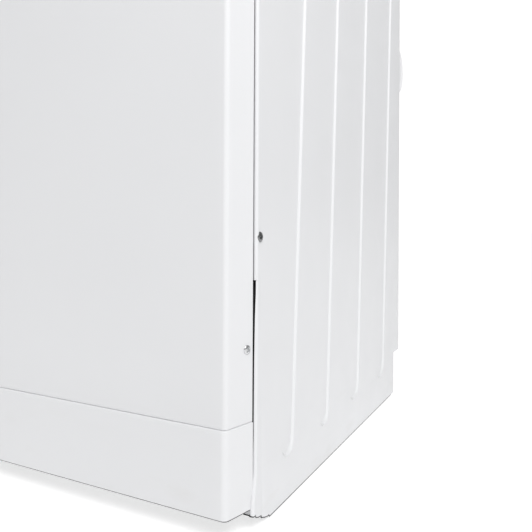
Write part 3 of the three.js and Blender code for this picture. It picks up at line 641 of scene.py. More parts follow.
bmesh.ops.recalc_face_normals(work, faces=work.faces)
work.to_mesh(mesh)
work.free()
cutter = placed("plugs", mesh)
cut = fascia.modifiers.new("openings", "BOOLEAN")
cut.operation = "DIFFERENCE"
cut.object = cutter
baked(fascia, 38)
bpy.data.objects.remove(cutter)
covered(fascia, finishes["white_plastic"])
piece("control_bezels", bezels, "grey_plastic", "cabinet")
print("front covers ready")


grooveShape = {"starts": [97.5, 208.5, 325.5, 460], "endWidths": [30, 29.6, 39.1, 43.6],
               # millimetres
               "taper": 0.061, "low": 50, "high": 781.6, "depth": 2.6, "frontWall": 1.4, "rearWall": 2.6}
sideShape = {"noseRadius": 2.7, "nose": 39.9, "flange": 39.9, "flangeOut": (9.4, 5.0, 1.2, 0.35),
             "rearTail": (8.0, 13.0), "depth": 606, "notchDepth": 37, "notchHeight": 72,
             "rearRadius": 3.0, "wall": 0.9 * mm, "screwDepth": 43.8, "dimple": 0.9}  # millimetres
slotShape = {"heights": [50, 62, 77, 92, 172, 214, 240, 252, 252.3],
             # heights and how far from the side
             "cut": [-5.6, -4.6, -3.9, -3.3, -2.9, -2.3, -1.5, -1.5, -5.6]}
pleatShape = {"edge": 52.0, "lean": 0.05, "depth": 1.7, "reach": 5.0, "fade": 150, "flare": 5.0,
              "flareTop": 62, "flareRun": 38,
              "tooth": 3.2, "toothEnds": [31.0, 37.4, 50.5, 68.0], "slant": 0.46, "slantFrom": 64,
              "toothFade": 34}


def smooth(value):
    # a step with level ends: three squares less two cubes
    value = np.clip(value, 0, 1)
    return value * value * (3 - 2 * value)


def grooveDip(depth, height):
    # how far the sheet is pressed in: for each groove, the distance inside a tapered slot with round ends,
    # run through a smooth step that is short on the front wall and long on the rear wall
    g, total = grooveShape, 0
    for start, endWidth in zip(g["starts"], g["endWidths"]):
        topWidth = endWidth + g["taper"] * (g["high"] - g["low"])
        lowRadius, highRadius = endWidth / 2, topWidth / 2
        width = endWidth + g["taper"] * np.clip(height - g["low"], 0, g["high"] - g["low"])
        middle = start + width / 2
        inside = np.minimum(depth - start, start + width - depth)
        lowEnd = lowRadius - np.hypot(depth - start - lowRadius, height - g["low"] - lowRadius)
        highEnd = highRadius - np.hypot(depth - start - highRadius, height - g["high"] + highRadius)
        inside = np.where(height < g["low"] + lowRadius, lowEnd, inside)
        inside = np.where(height > g["high"] - highRadius, highEnd, inside)
        toRear = smooth((depth - middle) / width + 0.5)
        wall = g["frontWall"] + (g["rearWall"] - g["frontWall"]) * toRear
        total = total + g["depth"] * smooth((inside + 0.3) / (wall + 0.6))
    return total


def screwHeight():
    # the middle of the side screw, in millimetres
    low, high = corners("side_panel_screw_right")
    return (low[2] + high[2]) / 2 / mm


def sideRows():
    # row heights, close together where the slot, the screw's dimple and the grooves' round tops need them
    low, high = sideLow[2] / mm, sideHigh[2] / mm
    screw = screwHeight()
    return steps(low, 49.7, 28, 50, 1, 75, 12, 77, 1, 92, 5, 172, 8, 214, 5, 240, 3, 252, 2, 252.3, 1,
                 screw - 9, 4, screw + 9, 12, 690, 22, 742, 14, 783, 36, high - 3, 5, high, 2)


def sideSheet():
    # the panel is one grid: a rolled nose and its flange in front, the grooved wall, and a rear fold;
    # the wall's columns follow the groove walls, so they lean as the grooves widen upward
    s, g, p = sideShape, grooveShape, pleatShape
    rows = sideRows()[:, None]
    low = rows[0, 0]
    edge = half / mm
    radius = s["noseRadius"]
    # nose: an angle from the inner flange over the front to the wall, starting later where the slot is cut;
    # near the floor the nose comes forward over the plinth's return
    cut = np.interp(rows, slotShape["heights"], slotShape["cut"])
    startAngle = np.arccos(np.clip(-(cut + radius) / radius, -1, 1))  # 0 is the inner side, pi the wall
    share = np.linspace(0, 1, 15)[None]
    angle = startAngle + (pi - startAngle) * share
    noseX = edge - radius - radius * np.cos(angle)
    flare = p["flare"] * smooth((p["flareTop"] - rows) / p["flareRun"])
    noseY = s["nose"] - flare - radius * np.sin(angle)
    hasFlange = cut <= -5.4
    flange = np.array(s["flangeOut"])[None]  # ends clear of the drawer's back plate
    flangeX = np.where(hasFlange, edge - 2 * radius - flange, noseX[:, :1])
    flangeY = np.where(hasFlange, s["flange"] - flare * 0.2 - np.array([0, 0, 0.1, 0.6])[None],
                       noseY[:, :1] + 0.02)
    # wall: knots along the depth that move with the tapering grooves, a fixed number of columns between them
    width = [w + g["taper"] * np.clip(rows - g["low"], 0, g["high"] - g["low"]) for w in g["endWidths"]]
    crease = p["edge"] - p["lean"] * np.minimum(rows, p["fade"])
    knots = [s["nose"] - flare, 41.0 + 0 * rows, crease - 1.2, crease + 0.4, 68 + 0 * rows]
    counts = [4, 5, 5, 9]
    for start, w in zip(g["starts"], width):
        knots += [start - 0.8 + 0 * rows, start + 2.6 + 0 * rows, start + w - 3.4, start + w + 0.9]
        counts += [5, 7, 13, 8]
    knots += [s["depth"] - s["notchDepth"] + 0 * rows, s["depth"] - s["rearRadius"] + 0 * rows]
    counts += [4, 4]
    depth = [knots[0]]
    for a, b, count in zip(knots, knots[1:], counts):
        depth.append(a + (b - a) * np.linspace(0, 1, count + 1)[None, 1:])
    depth = np.concatenate(depth, 1)
    dip = grooveDip(depth, rows)
    away = np.hypot(depth - s["screwDepth"], rows - screwHeight())
    dip = dip + s["dimple"] * np.exp(-(away / 6.5) ** 2) * smooth((depth - s["nose"]) / 3)
    # crease: the wall steps in behind a leaning line and eases out again, most of all near the floor
    fade = smooth(1 - (rows - low) / p["fade"])
    behind = depth - crease
    dip = dip + p["depth"] * fade * smooth(behind / 1.0 + 1) * np.exp(-np.clip(behind, 0, None) / p["reach"])
    wallX = edge - dip
    # rear fold: a quarter turn and a flange towards the middle
    turn = np.linspace(0, pi / 2, 6)[None, 1:]
    rearX = edge - s["rearRadius"] * (1 - np.cos(turn)) + 0 * rows
    rearY = s["depth"] - s["rearRadius"] * (1 - np.sin(turn)) + 0 * rows
    tail = np.array(s["rearTail"])[None]
    tailX, tailY = edge - s["rearRadius"] - tail + 0 * rows, s["depth"] + 0 * tail + 0 * rows
    x = np.concatenate([flangeX, noseX, wallX[:, 1:], rearX, tailX], 1)
    y = np.concatenate([flangeY, noseY, depth[:, 1:], rearY, tailY], 1)
    # the front of the lower edge ends in overlapping teeth: each rises as a square law towards the rear
    tooth = np.zeros_like(y)
    for start, end in zip(p["toothEnds"], p["toothEnds"][1:]):
        within = (y - start) / (end - start)
        tooth = np.where((within >= 0) & (within < 1), within ** 2 * smooth((1 - within) / 0.08), tooth)
    rise = p["tooth"] * tooth + p["slant"] * np.clip(p["slantFrom"] - y, 0, None)
    z = rows + rise * smooth(1 - (rows - low) / p["toothFade"])
    points = np.stack([x * mm, front + y * mm, z * mm], -1)
    middleY = (y[:-1, :-1] + y[1:, 1:]) / 2
    middleZ = (rows[:-1] + rows[1:]) / 2 + 0 * middleY
    keep = ~((middleY > s["depth"] - s["notchDepth"]) & (middleZ < low + s["notchHeight"]))
    flangeFaces = np.arange(points.shape[1] - 1)[None, :] < 4
    keep &= ~(flangeFaces & ~(hasFlange[:-1] & hasFlange[1:]))
    return points, keep


sidePoints, sideKeep = sideSheet()
for sign, name in ((1, "right"), (-1, "left")):
    sheet = openSheet(sidePoints * np.array([sign, 1, 1]), sideKeep)
    piece("side_wall_" + name, [sheet], "white_enamel", "cabinet",
          ["side_panel_" + name], sideShape["wall"], cabinetCentre, 30)

# dark rubber beads under each side's lower edge and under the plinth's edge, and a dark block behind the slot
# beside the drawer: painted shadow under the edges and painted shade inside the slot
shadowBeadShape = {"high": 1.2, "wide": 1.2, "shadeNear": 43.0, "shadeFar": 47.0, "shadeLow": 34, "shadeHigh": 262}
sideShadowLine = sidePoints[0][sidePoints[0][:, 1] < front + (sideShape["depth"] - sideShape["notchDepth"]) * mm]
sideShadowLine = sideShadowLine[np.concatenate([[True], np.linalg.norm(np.diff(sideShadowLine, axis=0), axis=1) > 0.2 * mm])]
sideShadowLine = sideShadowLine + np.array([-0.5 * mm, 0, -0.5 * mm])
plinthShadowLine = plinthFoot + np.array([0, 0.5 * mm, -0.45 * mm])
# painted shadow: a dark bead along the plinth's lower edge stands in for the shadow under it
piece("plinth_painted_shadow_bead", [sweep(ovalSection(1.1 * mm, 1.1 * mm, 4, 10), plinthShadowLine, (0, 0, 1))],
      "foot_rubber", "cabinet")
for sign, name in ((1, "right"), (-1, "left")):
    # painted shadow and shade: the dark bead under the side's lower edge stands in for its contact shadow,
    # and the dark block behind the slot stands in for the shade inside it
    bead = sweep(ovalSection(shadowBeadShape["wide"] * mm, shadowBeadShape["high"] * mm, 4, 10), sideShadowLine, (0, 0, 1))
    shadeBlock = block((half - 16 * mm, front + shadowBeadShape["shadeNear"] * mm, shadowBeadShape["shadeLow"] * mm),
                 (half - 4.4 * mm, front + shadowBeadShape["shadeFar"] * mm, shadowBeadShape["shadeHigh"] * mm), 1.2 * mm)
    parts = [(p * np.array([sign, 1, 1]), q, t) for p, q, t in (bead, shadeBlock)]
    piece("painted_shadow_bead_and_shade_block_" + name, parts, "foot_rubber", "cabinet")
print("side panels ready")


lidShape = {"cornerRadius": 5 * mm, "edgeRadius": 4.5 * mm, "hem": 7 * mm, "wall": 1.2 * mm}


def lidSheet():
    # rounded rectangles one inside the other: hem below, upright lip, round shoulder, flat top
    low, high = corners("top_panel")
    centre, size = (low + high) / 2, (high - low) / 2
    e = lidShape["edgeRadius"]
    quarter = np.linspace(0, pi / 2, 8)
    inset = np.concatenate([[lidShape["hem"], 0.6 * mm, 0], [0, 0], e * (1 - np.cos(quarter)),
                            np.array([9, 20, 45, 80, 120, 160]) * mm])
    height = np.concatenate([[low[2], low[2], low[2] + 0.6 * mm], [low[2] + 6 * mm, high[2] - e - 2 * mm],
                             high[2] - e + e * np.sin(quarter), np.full(6, high[2])])
    rings = [np.column_stack([ring(size[0] - d, size[1] - d, max(lidShape["cornerRadius"] - d, 1 * mm),
                                   centre[:2]), np.full(36, z)]) for d, z in zip(inset, height)]
    return cappedSheet(np.array(rings), len(rings) - 1, [centre[0], centre[1], high[2]])


piece("lid", [lidSheet()], "white_enamel", "cabinet", ["top_panel"],
      lidShape["wall"], (0, 0, 0.5))

louvreShape = {"upper": {"first": 674, "rows": 7, "half": 100},
               "lower": {"first": 189.4, "rows": 6, "half": 70},
               # millimetres
               "pitch": 12, "opening": 5, "hood": 6, "proud": 2.6, "bead": 1.6, "wall": 1.0 * mm}


def backSheet():
    # a flat sheet with two pressed beads; over each slot a hood stands out and slopes back to the sheet
    low, high = corners("rear_panel")
    v = louvreShape
    stops = [low[2] / mm]
    for group in (v["lower"], v["upper"]):
        for row in range(group["rows"]):
            z = group["first"] + row * v["pitch"]
            stops += [z - 0.4, z, z + v["opening"], z + v["opening"] + 2, z + v["opening"] + 4,
                      z + v["opening"] + 6]
    stops += [high[2] / mm]
    stops += list(np.linspace(290, 640, 30))
    rows = np.unique(np.round(stops, 3))[:, None]
    xs = np.concatenate([np.linspace(-high[0] / mm, -108, 16), np.linspace(-100, -70, 8),
                         [-64, -40, 0, 40, 64],
                         np.linspace(70, 100, 8), np.linspace(108, high[0] / mm, 16)])[None]
    proud = 0 * rows * xs
    keep = np.ones((len(rows) - 1, xs.shape[1] - 1), bool)
    middleX, middleZ = (xs[:, :-1] + xs[:, 1:]) / 2, (rows[:-1] + rows[1:]) / 2
    for group in (v["lower"], v["upper"]):
        ends = smooth((group["half"] + 1 - np.abs(xs)) / 6)
        for row in range(group["rows"]):
            z = group["first"] + row * v["pitch"]
            up = (rows - z - v["opening"]) / v["hood"]
            proud = proud + np.where((up >= -0.01) & (up < 1), v["proud"] * smooth(1 - up), 0) * ends
            keep &= ~((np.abs(middleX) < group["half"] - 4) & (middleZ > z) & (middleZ < z + v["opening"]))
    bead = smooth(1 - np.abs(np.abs(xs) - 135) / 7) * smooth((rows - 280) / 8) * smooth((650 - rows) / 8)
    bead = v["bead"] * bead
    y = high[1] / mm - 0.2 - bead + proud
    y = np.minimum(y, sideHigh[1] / mm - 0.2)
    points = np.stack([xs + 0 * rows, y, rows + 0 * xs], -1) * mm
    return openSheet(points, keep)


piece("back_sheet", [backSheet()], "galvanised", "cabinet", ["rear_panel"],
      louvreShape["wall"], (0, 0, 0.45))

bumperShape = {"edge": 2.4 * mm, "steps": 40}


def bumperSolid(node):
    # the half ellipse closed across its flat side: each ring gets points back along the wall line
    low, high = corners(node)
    centre, size = (low + high) / 2, high - low
    reach, rise, thick, edge = size[1], size[2] / 2, size[0] / 2, bumperShape["edge"]
    angle = np.linspace(-pi / 2, pi / 2, bumperShape["steps"])
    back = np.linspace(1, -1, 14)[1:-1]
    quarter = np.linspace(0, pi / 2, 6)
    inset = np.concatenate([[14 * mm, edge + 4.2 * mm, edge + 2.4 * mm], (edge * (1 - np.sin(quarter)))])
    side = np.concatenate([[thick - 1.3 * mm, thick - 1.3 * mm, thick], thick - edge * (1 - np.cos(quarter))])
    inset = np.concatenate([inset, inset[::-1]])
    side = np.concatenate([-side, side[::-1]])
    rings = []
    for d, x in zip(inset, side):
        arcY = low[1] + (reach - d) * np.cos(angle)
        arcZ = centre[2] + (rise - d) * np.sin(angle)
        ringY = np.concatenate([arcY, np.full(12, low[1])])
        ringZ = np.concatenate([arcZ, centre[2] + (rise - d) * back])
        rings.append(np.column_stack([np.full(len(ringY), centre[0] + x), ringY, ringZ]))
    return tube(np.array(rings))


for name in ("right", "left"):
    piece("wall_bumper_" + name, [bumperSolid("rear_bumper_" + name)], "bumper_plastic", "cabinet",
          ["rear_bumper_" + name])
print("lid, back and bumpers ready")


def crossHead(radius, domeHeight, skirt, sides=40):
    # a pan head seen along its axis: height falls off as a shallow dome, minus a cross-shaped recess whose
    # arms are the places where the smaller of the two offsets is narrow and the larger one short
    spread = np.concatenate([np.linspace(0.04, 0.62, 16), np.array([0.7, 0.8, 0.9, 0.97, 1.0])]) * radius
    angle = wholeTurn(sides)
    a, b = spread[:, None] * np.cos(angle), spread[:, None] * np.sin(angle)
    near, far = np.minimum(abs(a), abs(b)), np.maximum(abs(a), abs(b))
    recess = smooth((0.21 * radius - near)
                    / (0.09 * radius)) * smooth((0.62 * radius - far) / (0.12 * radius))
    dome = np.sqrt(np.clip(1 - 0.96 * (spread[:, None] / radius) ** 2, 0, 1))
    height = skirt + domeHeight * (dome - 1.1 * recess)
    top = np.stack([height, a, b], -1)
    base = np.stack([0 * a[-1] - 4 * mm, 0.45 * a[-1], 0.45 * b[-1]], -1)[None]
    collar = np.stack([0 * a[-1], a[-1], b[-1]], -1)[None]
    neck = np.stack([0 * a[-1], 0.45 * a[-1], 0.45 * b[-1]], -1)[None]
    return tube(np.concatenate([top, collar, neck, base]))


screwShape = {"side": {"radius": 5.3 * mm, "dome": 2.2 * mm, "skirt": 0.3 * mm, "turn": 0.35},
              "front": {"radius": 4.6 * mm, "dome": 1.8 * mm, "skirt": 0.4 * mm, "turn": -0.5},
              "frontReach": 28 * mm, "sideSink": 0.75 * mm, "frontSink": 0.1 * mm}


def screwHead(shape):
    # a head with its recess turned about its own axis
    head = crossHead(shape["radius"], shape["dome"], shape["skirt"])
    return rotated(head, "x", shape["turn"], np.zeros(3))


for sign, name in ((1, "right"), (-1, "left")):
    low, high = corners("side_panel_screw_" + name)
    middle = (low + high) / 2
    middle[0] = sign * (half - screwShape["sideSink"])
    middle[1] = front + sideShape["screwDepth"] * mm
    points, faces, caps = screwHead(screwShape["side"])
    points = points * np.array([sign, 1, 1]) + middle
    piece("side_fixing_screw_" + name, [(points, faces, caps)], "dark_screw", "cabinet",
          ["side_panel_screw_" + name])
    low, high = corners("front_panel_screw_" + name)
    slope = math.atan2(returnOut, returnDepth)
    reach = screwShape["frontReach"]
    middle = np.array([returnX - returnOut + reach * returnOut / returnDepth - screwShape["frontSink"],
                       front + reach, (low[2] + high[2]) / 2])
    points, faces, caps = rotated(screwHead(screwShape["front"]), "z", -slope, np.zeros(3))
    points = (points + middle) * np.array([sign, 1, 1])
    piece("cover_fixing_screw_" + name, [(points, faces, caps)], "bright_screw", "drawer",
          ["front_panel_screw_" + name])

footShape = {"sides": 56}
for node in ("foot_front_right", "foot_front_left", "foot_rear_right", "foot_rear_left"):
    low, high = corners(node)
    centre, r, top = (low + high) / 2, (high[0] - low[0]) / 2, high[2]
    profile = rounded([(0.02 * r, 1.2 * mm), (0.55 * r, 1.2 * mm), (0.6 * r, 0), (0.94 * r, 0), (r, 1.4 * mm),
                       (r, 5.2 * mm), (0.9 * r, 7 * mm), (0.52 * r, 11.5 * mm), (0.5 * r, 14 * mm),
                       (0.5 * r, plinthLow[2] + 3.2 * mm), (0.34 * r, plinthLow[2] + 3.2 * mm),
                       (0.33 * r, top - 0.8 * mm), (0.28 * r, top)], 0.9 * mm)
    piece("levelling_" + node, [revolve(profile, (centre[0], centre[1], 0), "z", footShape["sides"])],
          "foot_rubber", "cabinet", [node])
print("fasteners and feet ready")


handleShape = {"barWide": 14 * mm, "barHigh": 13.6 * mm, "bend": 17 * mm, "power": 2.6,
               "lugX": 64.5 * mm, "pinHalf": 66 * mm}
handleLow, handleHigh = corners("handle")
barY = handleLow[1] + handleShape["barWide"] / 2
barZ = handleLow[2] + 12 * mm


def handlePath():
    # out from the front, round a quarter bend, along the bar, and back the same way
    bend, reachX = handleShape["bend"], handleHigh[0] - 7 * mm
    wallY = handleHigh[1] - 0.4 * mm
    quarter = np.linspace(0, pi / 2, 12)
    legX, legY = np.full(6, reachX), np.linspace(wallY, barY + bend, 7)[:-1]
    bendX, bendY = reachX - bend * (1 - np.cos(quarter)), barY + bend - bend * np.sin(quarter)
    x = np.concatenate([legX, bendX, np.linspace(reachX - bend, 0, 14)[1:]])
    y = np.concatenate([legY, bendY, np.full(13, barY)])
    x, y = np.concatenate([x, -x[-2::-1]]), np.concatenate([y, y[-2::-1]])
    return np.column_stack([x, y, np.full(len(x), barZ)])


bar = sweep(ovalSection(handleShape["barWide"], handleShape["barHigh"], handleShape["power"], 28),
            handlePath(), (0, 0, 1))
plate = block((-handleHigh[0], handleHigh[1] - 1.6 * mm, handleLow[2]),
              (handleHigh[0], handleHigh[1], handleHigh[2]), 0.75 * mm, 4)
paddleLow, paddleHigh = corners("release_paddle")
pinZ = paddleHigh[2] - 3.4 * mm
pinY = front - 5.8 * mm
lugs = []
for sign in (1, -1):
    x = sign * handleShape["lugX"]
    lugs.append(block((x - 2.4 * mm, front - 9 * mm, pinZ - 5 * mm),
                      (x + 2.4 * mm, front - 1 * mm, pinZ + 5 * mm),
                      1.6 * mm, 4))
    lugs.append(revolve(rounded([(0.2 * mm, -3.0 * mm), (1.9 * mm, -3.0 * mm), (2.3 * mm, -2.4 * mm),
                                 (2.3 * mm, 2.6 * mm), (0.2 * mm, 2.6 * mm)], 0.3 * mm),
                        (x, pinY, pinZ), "x", 28))
pinHalf = handleShape["pinHalf"]
pin = revolve(rounded([(0.1 * mm, -pinHalf), (1.5 * mm, -pinHalf), (1.5 * mm, pinHalf), (0.1 * mm, pinHalf)],
                      0.3 * mm), (0, pinY, pinZ), "x", 24)
piece("pull_handle", [bar, plate, pin] + lugs, "handle_plastic", "drawer", ["handle"])

paddleShape = {"dish": 1.0 * mm, "knuckle": 3.4 * mm, "bore": 1.8 * mm}
halfPaddle = paddleHigh[0]
section = [(paddleShape["bore"], -halfPaddle), (paddleShape["knuckle"] - 0.5 * mm, -halfPaddle),
           (paddleShape["knuckle"], -halfPaddle + 0.5 * mm), (paddleShape["knuckle"], halfPaddle - 0.5 * mm),
           (paddleShape["knuckle"] - 0.5 * mm, halfPaddle), (paddleShape["bore"], halfPaddle)]
knuckle = revolve(section, (0, pinY, pinZ), "x", 36, True)
across = np.linspace(-1, 1, 41)[None]
down = np.linspace(0, 1, 18)[:, None]
blade = np.stack([halfPaddle * across * (1 - 0.02 * down ** 6),
                  front - 6.6 * mm + paddleShape["dish"] * (down ** 2) * (1 - across ** 2) + 0 * across,
                  pinZ - 2.6 * mm - down * (pinZ - 2.6 * mm - paddleLow[2]) + 0 * across], -1)
rear = blade + np.array([0, 2.0 * mm, 0])
edges = np.concatenate([blade, rear[:, ::-1]], 1)
piece("squeeze_paddle", [knuckle, tube(edges)], "grey_plastic", "release_paddle",
      ["release_paddle"])

buttonShape = {"dish": 0.7 * mm, "edgeRadius": 0.9 * mm}
for node, finish in (("start_button", "start_plastic"), ("stop_button", "stop_plastic")):
    low, high = corners(node)
    r, centre = (high[0] - low[0]) / 2, (low + high) / 2
    face = low[1] - front
    profile = [(0.02 * r, face + buttonShape["dish"]), (0.45 * r, face + 0.55 * buttonShape["dish"]),
               (0.78 * r, face + 0.05 * mm), (0.88 * r, face), (r - 0.05 * mm, face + 1.5 * mm),
               (r, face + 12 * mm),
               (5 * mm, face + 12 * mm), (5 * mm, high[1] - front), (0.1 * mm, high[1] - front)]
    piece(node.replace("_button", "_push_button"),
          [revolve(rounded(profile, buttonShape["edgeRadius"], 5), (centre[0], front, centre[2]), "y", 64)],
          finish, node, [node])

lampLow, lampHigh = corners("status_lamp")
lampMiddle, lampRadius = (lampLow + lampHigh) / 2, (lampHigh[0] - lampLow[0]) / 2
share = np.linspace(0.03, 1, 10)
dome = [(lampRadius * t,
         -1.5 * mm + 2.0 * mm * t ** 3) for t in share] + [(lampRadius, 8 * mm), (0.2 * mm, 8 * mm)]
piece("pilot_lamp_lens", [revolve(dome, (lampMiddle[0], front, lampMiddle[2]), "y", 48)], "lamp_lens",
      "cabinet", ["status_lamp"])

knobShape = {"flutes": 24, "fluteDepth": 0.55 * mm, "sides": 144, "gripHalf": 2.5 * mm,
             "gripReach": 13.6 * mm}


def knobPart():
    # a turned skirt whose radius ripples round the rim, and a raised grip bar across its face
    low, high = corners("key_knob")
    centre, radius = (low + high) / 2, (high[0] - low[0]) / 2
    profile = rounded([(0.3 * mm, -13.8 * mm), (12.8 * mm, -13.8 * mm), (14.8 * mm, -12.2 * mm),
                       (15.9 * mm, -3 * mm),
                       (radius, -1.6 * mm), (radius, -0.7 * mm), (7 * mm, -0.7 * mm), (7 * mm, 4 * mm),
                       (5 * mm, 4 * mm), (5 * mm, high[1] - front), (0.1 * mm, high[1] - front)], 1.0 * mm, 4)
    angle = wholeTurn(knobShape["sides"])
    level = profile[:, 1:2]
    fluted = smooth((level + 13.6 * mm) / (2 * mm)) * smooth((-2.4 * mm - level) / (1.5 * mm))
    fluted = fluted * (profile[:, 0:1] > 12 * mm)
    r = profile[:, 0:1] - knobShape["fluteDepth"] * fluted * (0.5 + 0.5 * np.cos(knobShape["flutes"] * angle))
    skirt = turned(r, level, angle, (centre[0], front, centre[2]), "y")
    thick, reach = knobShape["gripHalf"], knobShape["gripReach"]
    grip = block((centre[0] - thick, low[1], centre[2] - reach),
                 (centre[0] + thick, front - 12.5 * mm, centre[2] + reach), 1.9 * mm, 5)
    return skirt, grip


piece("key_switch_knob", list(knobPart()), "knob_plastic", "key_knob", ["key_knob"])
print("handle and controls ready")


screwThread = {"pitch": 4 * mm, "depth": 1.15 * mm, "starts": 4, "perPitch": 6, "sides": 26, "plain": 9 * mm,
               "runOut": 4 * mm, "tipShare": 0.86}


def threadedBar(node):
    # radius falls into the thread groove as a rounded trapezium of height minus angle over the lead
    low, high = corners(node)
    centre, radius, t = (low + high) / 2, (high[0] - low[0]) / 2, screwThread
    z = np.arange(low[2] + 1 * mm, high[2] - 1 * mm, t["pitch"] / t["perPitch"])[:, None]
    angle = wholeTurn(t["sides"])[None]
    phase = (z / t["pitch"] - angle * t["starts"] / (2 * pi)) % 1.0
    crest = smooth((np.abs(phase - 0.5) - 0.14) / 0.2)
    ends = smooth((z - low[2] - t["plain"]) / t["runOut"])
    ends = ends * smooth((high[2] - t["plain"] - 8 * mm - z) / t["runOut"])
    r = radius - t["depth"] * (1 - crest) * ends
    rings = np.stack([centre[0] + r * np.cos(angle), centre[1] + r * np.sin(angle), z + 0 * angle], -1)
    tips = []
    for level in (low[2], high[2]):
        tips.append(np.stack([centre[0] + t["tipShare"] * radius * np.cos(angle),
                              centre[1] + t["tipShare"] * radius * np.sin(angle), level + 0 * angle], -1))
    return tube(np.concatenate([tips[0], rings, tips[1]]))


for name in ("right", "left"):
    piece("threaded_screw_" + name, [threadedBar("power_screw_" + name)], "screw_steel",
          "power_screw_" + name, ["power_screw_" + name], sharpAngle=75)


pulleyShape = {"grooves": 6, "sides": 64, "bore": 8.15 * mm, "motorBore": 4.05 * mm, "motorHigh": 18 * mm,
               "motorRise": 2 * mm}


def pulleyPart(low, high, boreRadius):
    # two flanges with a ribbed face between: the radius dips once for each belt rib
    centre, radius, h = (low + high) / 2, (high[0] - low[0]) / 2, high[2] - low[2]
    grooves = pulleyShape["grooves"]
    belt = np.linspace(2.8 * mm, h - 2.8 * mm, grooves * 8 + 1)
    wave = np.abs(np.sin(pi * grooves * (belt - belt[0]) / (belt[-1] - belt[0])))
    ribs = radius - 2.75 * mm - 0.35 * mm * wave ** 0.7
    profile = [(boreRadius, 0), (boreRadius + 2.2 * mm, 0), (boreRadius + 2.4 * mm, 0.8 * mm),
               (radius - 3.5 * mm, 0.8 * mm),
               (radius - 3.2 * mm, 0), (radius - 0.4 * mm, 0), (radius, 0.4 * mm), (radius, 1.6 * mm),
               (radius - 2.4 * mm, 2.5 * mm)]
    profile += list(zip(ribs, belt))
    profile += [(radius - 2.4 * mm, h - 2.5 * mm), (radius, h - 1.6 * mm), (radius, h - 0.4 * mm),
                (radius - 0.4 * mm, h), (boreRadius, h)]
    return revolve(profile, (centre[0], centre[1], low[2]), "z", pulleyShape["sides"], True)


for name in ("right", "left"):
    low, high = corners("screw_pulley_" + name)
    piece("ribbed_pulley_" + name, [pulleyPart(low, high, pulleyShape["bore"])], "pulley_iron",
          "power_screw_" + name, ["screw_pulley_" + name])

low, high = corners("motor_pulley")
beltLow, beltHigh = corners("drive_belt")
centre = (low + high) / 2
shaftLength = corners("motor")[0][2] - 0.3 * mm - low[2]  # up to the motor's lower face
shaft = revolve(rounded([(0.2 * mm, 0), (3.4 * mm, 0), (4 * mm, 0.8 * mm), (4 * mm, shaftLength - 0.8 * mm),
                         (3.4 * mm, shaftLength), (0.2 * mm, shaftLength)], 0.4 * mm),
                (centre[0], centre[1], low[2]), "z", 40)
motorPulleyLow = np.array([low[0], low[1], low[2] + pulleyShape["motorRise"]])
motorPulleyHigh = np.array([high[0], high[1], motorPulleyLow[2] + pulleyShape["motorHigh"]])
piece("motor_shaft_pulley", [pulleyPart(motorPulleyLow, motorPulleyHigh, pulleyShape["motorBore"]), shaft],
      "pulley_iron", "motor_rotor", ["motor_pulley"])


def leaving(ax, ay, ar, bx, by, br):
    # direction from a circle's middle to where the outer line towards the next circle touches it
    gap = math.hypot(bx - ax, by - ay)
    return math.atan2(by - ay, bx - ax) - math.acos((ar - br) / gap)


def beltPath():
    # straight runs and arcs round three pulleys, as the support line of the largest circle in each direction
    low, high = corners("screw_pulley_right")
    side, r = (low + high) / 2, (high[0] - low[0]) / 2 - 1 * mm
    motorLow, motorHigh = corners("motor_pulley")
    rear, rearR = (motorLow + motorHigh) / 2, (motorHigh[0] - motorLow[0]) / 2 - 1 * mm
    circles = [(side[0], side[1], r), (0.0, rear[1], rearR), (-side[0], side[1], r)]
    path = []
    for i, (x, y, radius) in enumerate(circles):
        x0, y0, r0 = circles[i - 1]
        x2, y2, r2 = circles[(i + 1) % 3]
        start = leaving(x0, y0, r0, x, y, radius)
        end = leaving(x, y, radius, x2, y2, r2)
        while end < start:
            end += 2 * pi
        angle = np.linspace(start, end, 26)
        path.append(np.column_stack([x + radius * np.cos(angle), y + radius * np.sin(angle)]))
    corner = np.concatenate(path)
    closed = np.concatenate([corner, corner[:1]])
    length = np.concatenate([[0], np.cumsum(np.linalg.norm(np.diff(closed, axis=0), axis=1))])
    keep = []
    for a, b, start, end in zip(closed, closed[1:], length, length[1:]):
        count = max(1, int((end - start) / (9 * mm)))
        keep.append(a + (b - a) * np.linspace(0, 1, count, endpoint=False)[:, None])
    return np.concatenate(keep)


def beltSection():
    # flat outside with round edges, six ribs inside
    h = beltHigh[2] - beltLow[2]
    up = np.linspace(-h / 2 + 0.6 * mm, h / 2 - 0.6 * mm, 37)
    inside = -0.95 * mm + 0.45 * mm * np.abs(np.sin(6 * pi * (up - up[0]) / (up[-1] - up[0])))
    outside = [(0.9 * mm, h / 2 - 0.5 * mm), (1.05 * mm, h / 2 - 1.1 * mm), (1.05 * mm, -h / 2 + 1.1 * mm),
               (0.9 * mm, -h / 2 + 0.5 * mm), (0.4 * mm, -h / 2), (-0.6 * mm, -h / 2)]
    return np.concatenate([np.column_stack([inside, up]), [(-0.6 * mm, h / 2), (0.4 * mm, h / 2)], outside])


flat = beltPath()
path = np.column_stack([flat, np.full(len(flat), (beltLow[2] + beltHigh[2]) / 2)])
piece("ribbed_belt", [sweep(beltSection(), path, (0, 0, 1), True)], "belt_rubber", "cabinet", ["drive_belt"],
      sharpAngle=50)

